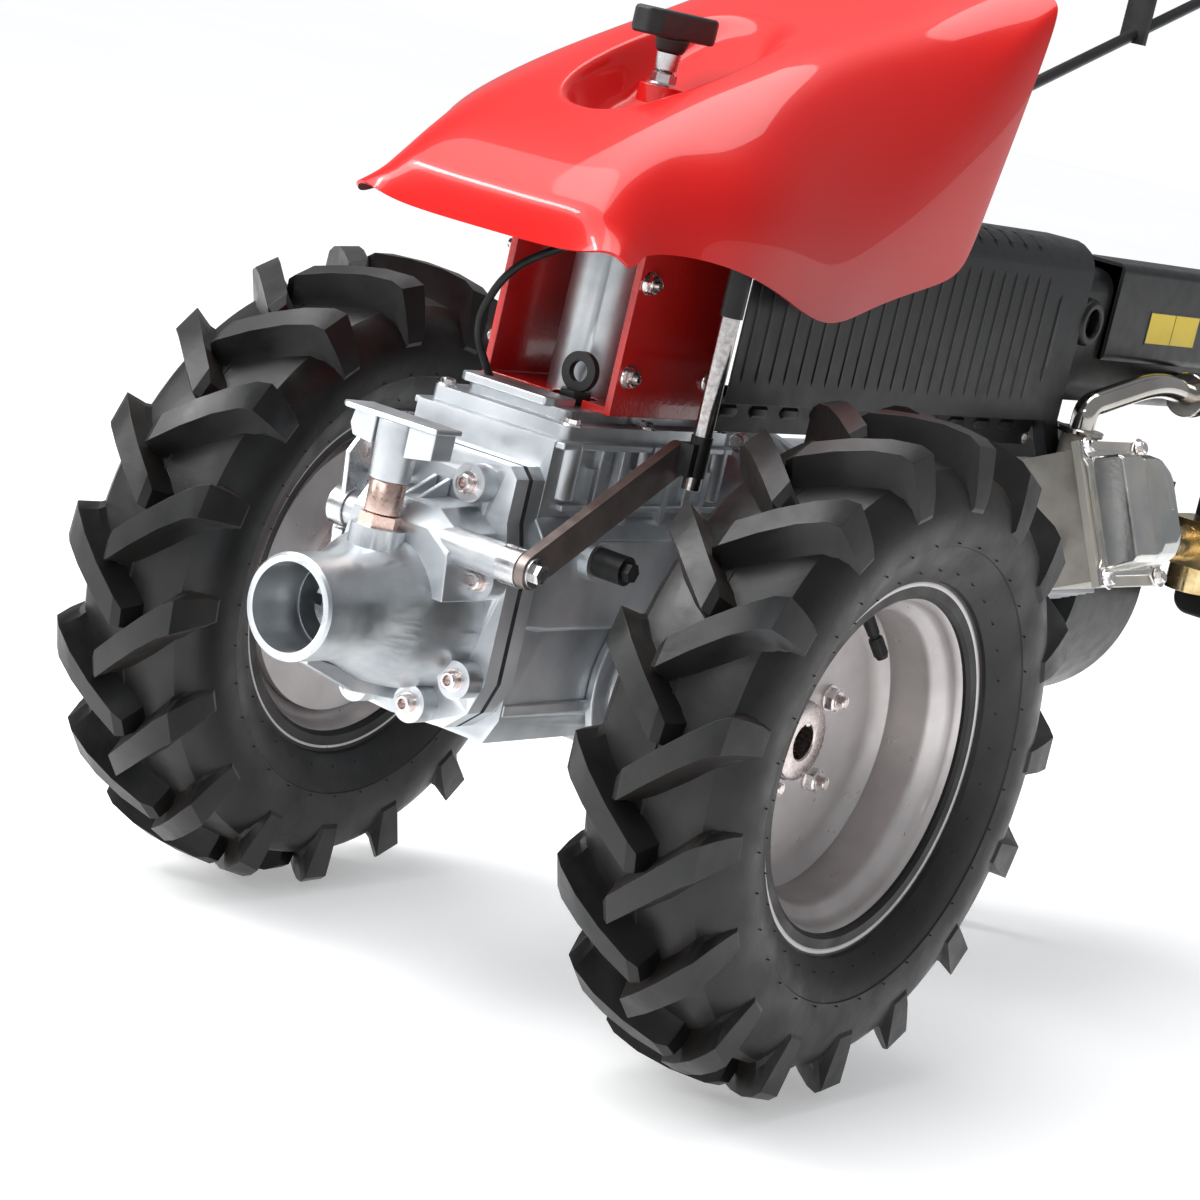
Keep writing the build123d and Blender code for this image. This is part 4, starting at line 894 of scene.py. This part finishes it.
# Floor, light and camera
floor_finish, tree, shader, where = nodes_of("pale_floor")
patches = noise(tree, where, 0.7, 3)
tree.links.new(ramp(tree, patches, [(0.3, (0.80, 0.80, 0.81)), (0.7, (0.83, 0.83, 0.83))]),
               shader.inputs["Base Color"])
shader.inputs["Roughness"].default_value = 0.7
shader.inputs["Emission Color"].default_value = (1, 1, 1, 1)
shader.inputs["Emission Strength"].default_value = 0.36
floor_mesh = bpy.data.meshes.new("studio_floor")
bm = bmesh.new()
bmesh.ops.create_circle(bm, cap_ends=True, segments=64, radius=30,
                        matrix=Matrix.Translation((0, 0, -0.0005)))
bm.to_mesh(floor_mesh)
bm.free()
floor = bpy.data.objects.new("studio_floor", floor_mesh)
floor_mesh.materials.append(floor_finish)
bpy.context.collection.objects.link(floor)

world = bpy.data.worlds.new("soft_studio")
world.use_nodes = True
sky = world.node_tree
ambient = sky.nodes["Background"]
ambient.inputs["Color"].default_value = (0.93, 0.96, 1.0, 1)
ambient.inputs["Strength"].default_value = 0.34
backdrop = sky.nodes.new("ShaderNodeBackground")
backdrop.inputs["Color"].default_value = (1, 1, 1, 1)
backdrop.inputs["Strength"].default_value = 1.0
seen, either = sky.nodes.new("ShaderNodeLightPath"), sky.nodes.new("ShaderNodeMixShader")
sky.links.new(seen.outputs["Is Camera Ray"], either.inputs["Fac"])
sky.links.new(ambient.outputs["Background"], either.inputs[1])
sky.links.new(backdrop.outputs["Background"], either.inputs[2])
sky.links.new(either.outputs["Shader"], sky.nodes["World Output"].inputs["Surface"])
bpy.context.scene.world = world
bpy.context.scene.view_settings.view_transform = "Standard"


def softbox(name, place, target, size, power):
    lamp = bpy.data.lights.new(name, "AREA")
    lamp.shape = "RECTANGLE"
    lamp.size, lamp.size_y = size
    lamp.energy = power
    box = bpy.data.objects.new(name, lamp)
    box.location = place
    box.rotation_euler = (Vector(target) - Vector(place)).to_track_quat("-Z", "Y").to_euler()
    bpy.context.collection.objects.link(box)


softbox("overhead_softbox", (-0.6, -0.2, 3.6), (0, -0.3, 0.3), (3.4, 2.4), 95)
softbox("front_left_softbox", (-3.4, -2.8, 2.4), (0, -0.4, 0.4), (1.2, 2.4), 65)
softbox("apron_highlight", (-1.7, -2.2, 2.3), (0, -0.6, 0.6), (1.1, 0.28), 24)
softbox("front_strip", (0.2, -4.4, 2.2), (0.0, -0.6, 0.6), (2.6, 0.4), 30)
sun = bpy.data.lights.new("soft_daylight", "SUN")
sun.energy = 1.9
sun.angle = radians(55)
daylight = bpy.data.objects.new("soft_daylight", sun)
daylight.rotation_euler = (Vector((0, 0, 0)) - Vector((-0.5, -0.55, 1.0))).to_track_quat("-Z",
                                                                                         "Y").to_euler()
bpy.context.collection.objects.link(daylight)

azimuth, elevation, roll = radians(33.129), radians(10.079), radians(13.179)
right = Vector((cos(azimuth), sin(azimuth), 0))
back = Vector((sin(azimuth) * cos(elevation), -cos(azimuth) * cos(elevation), sin(elevation)))
up = back.cross(right)
across, above = right * cos(roll) + up * sin(roll), up * cos(roll) - right * sin(roll)
lens = bpy.data.cameras.new("studio_camera")
lens.lens = 103.85
lens.sensor_width = 36
camera = bpy.data.objects.new("studio_camera", lens)
camera.matrix_world = Matrix.Translation((1.4456, -2.5792, 0.7709)) @ Matrix((across, above,
                                                                              back)).transposed().to_4x4()
bpy.context.collection.objects.link(camera)
bpy.context.scene.camera = camera
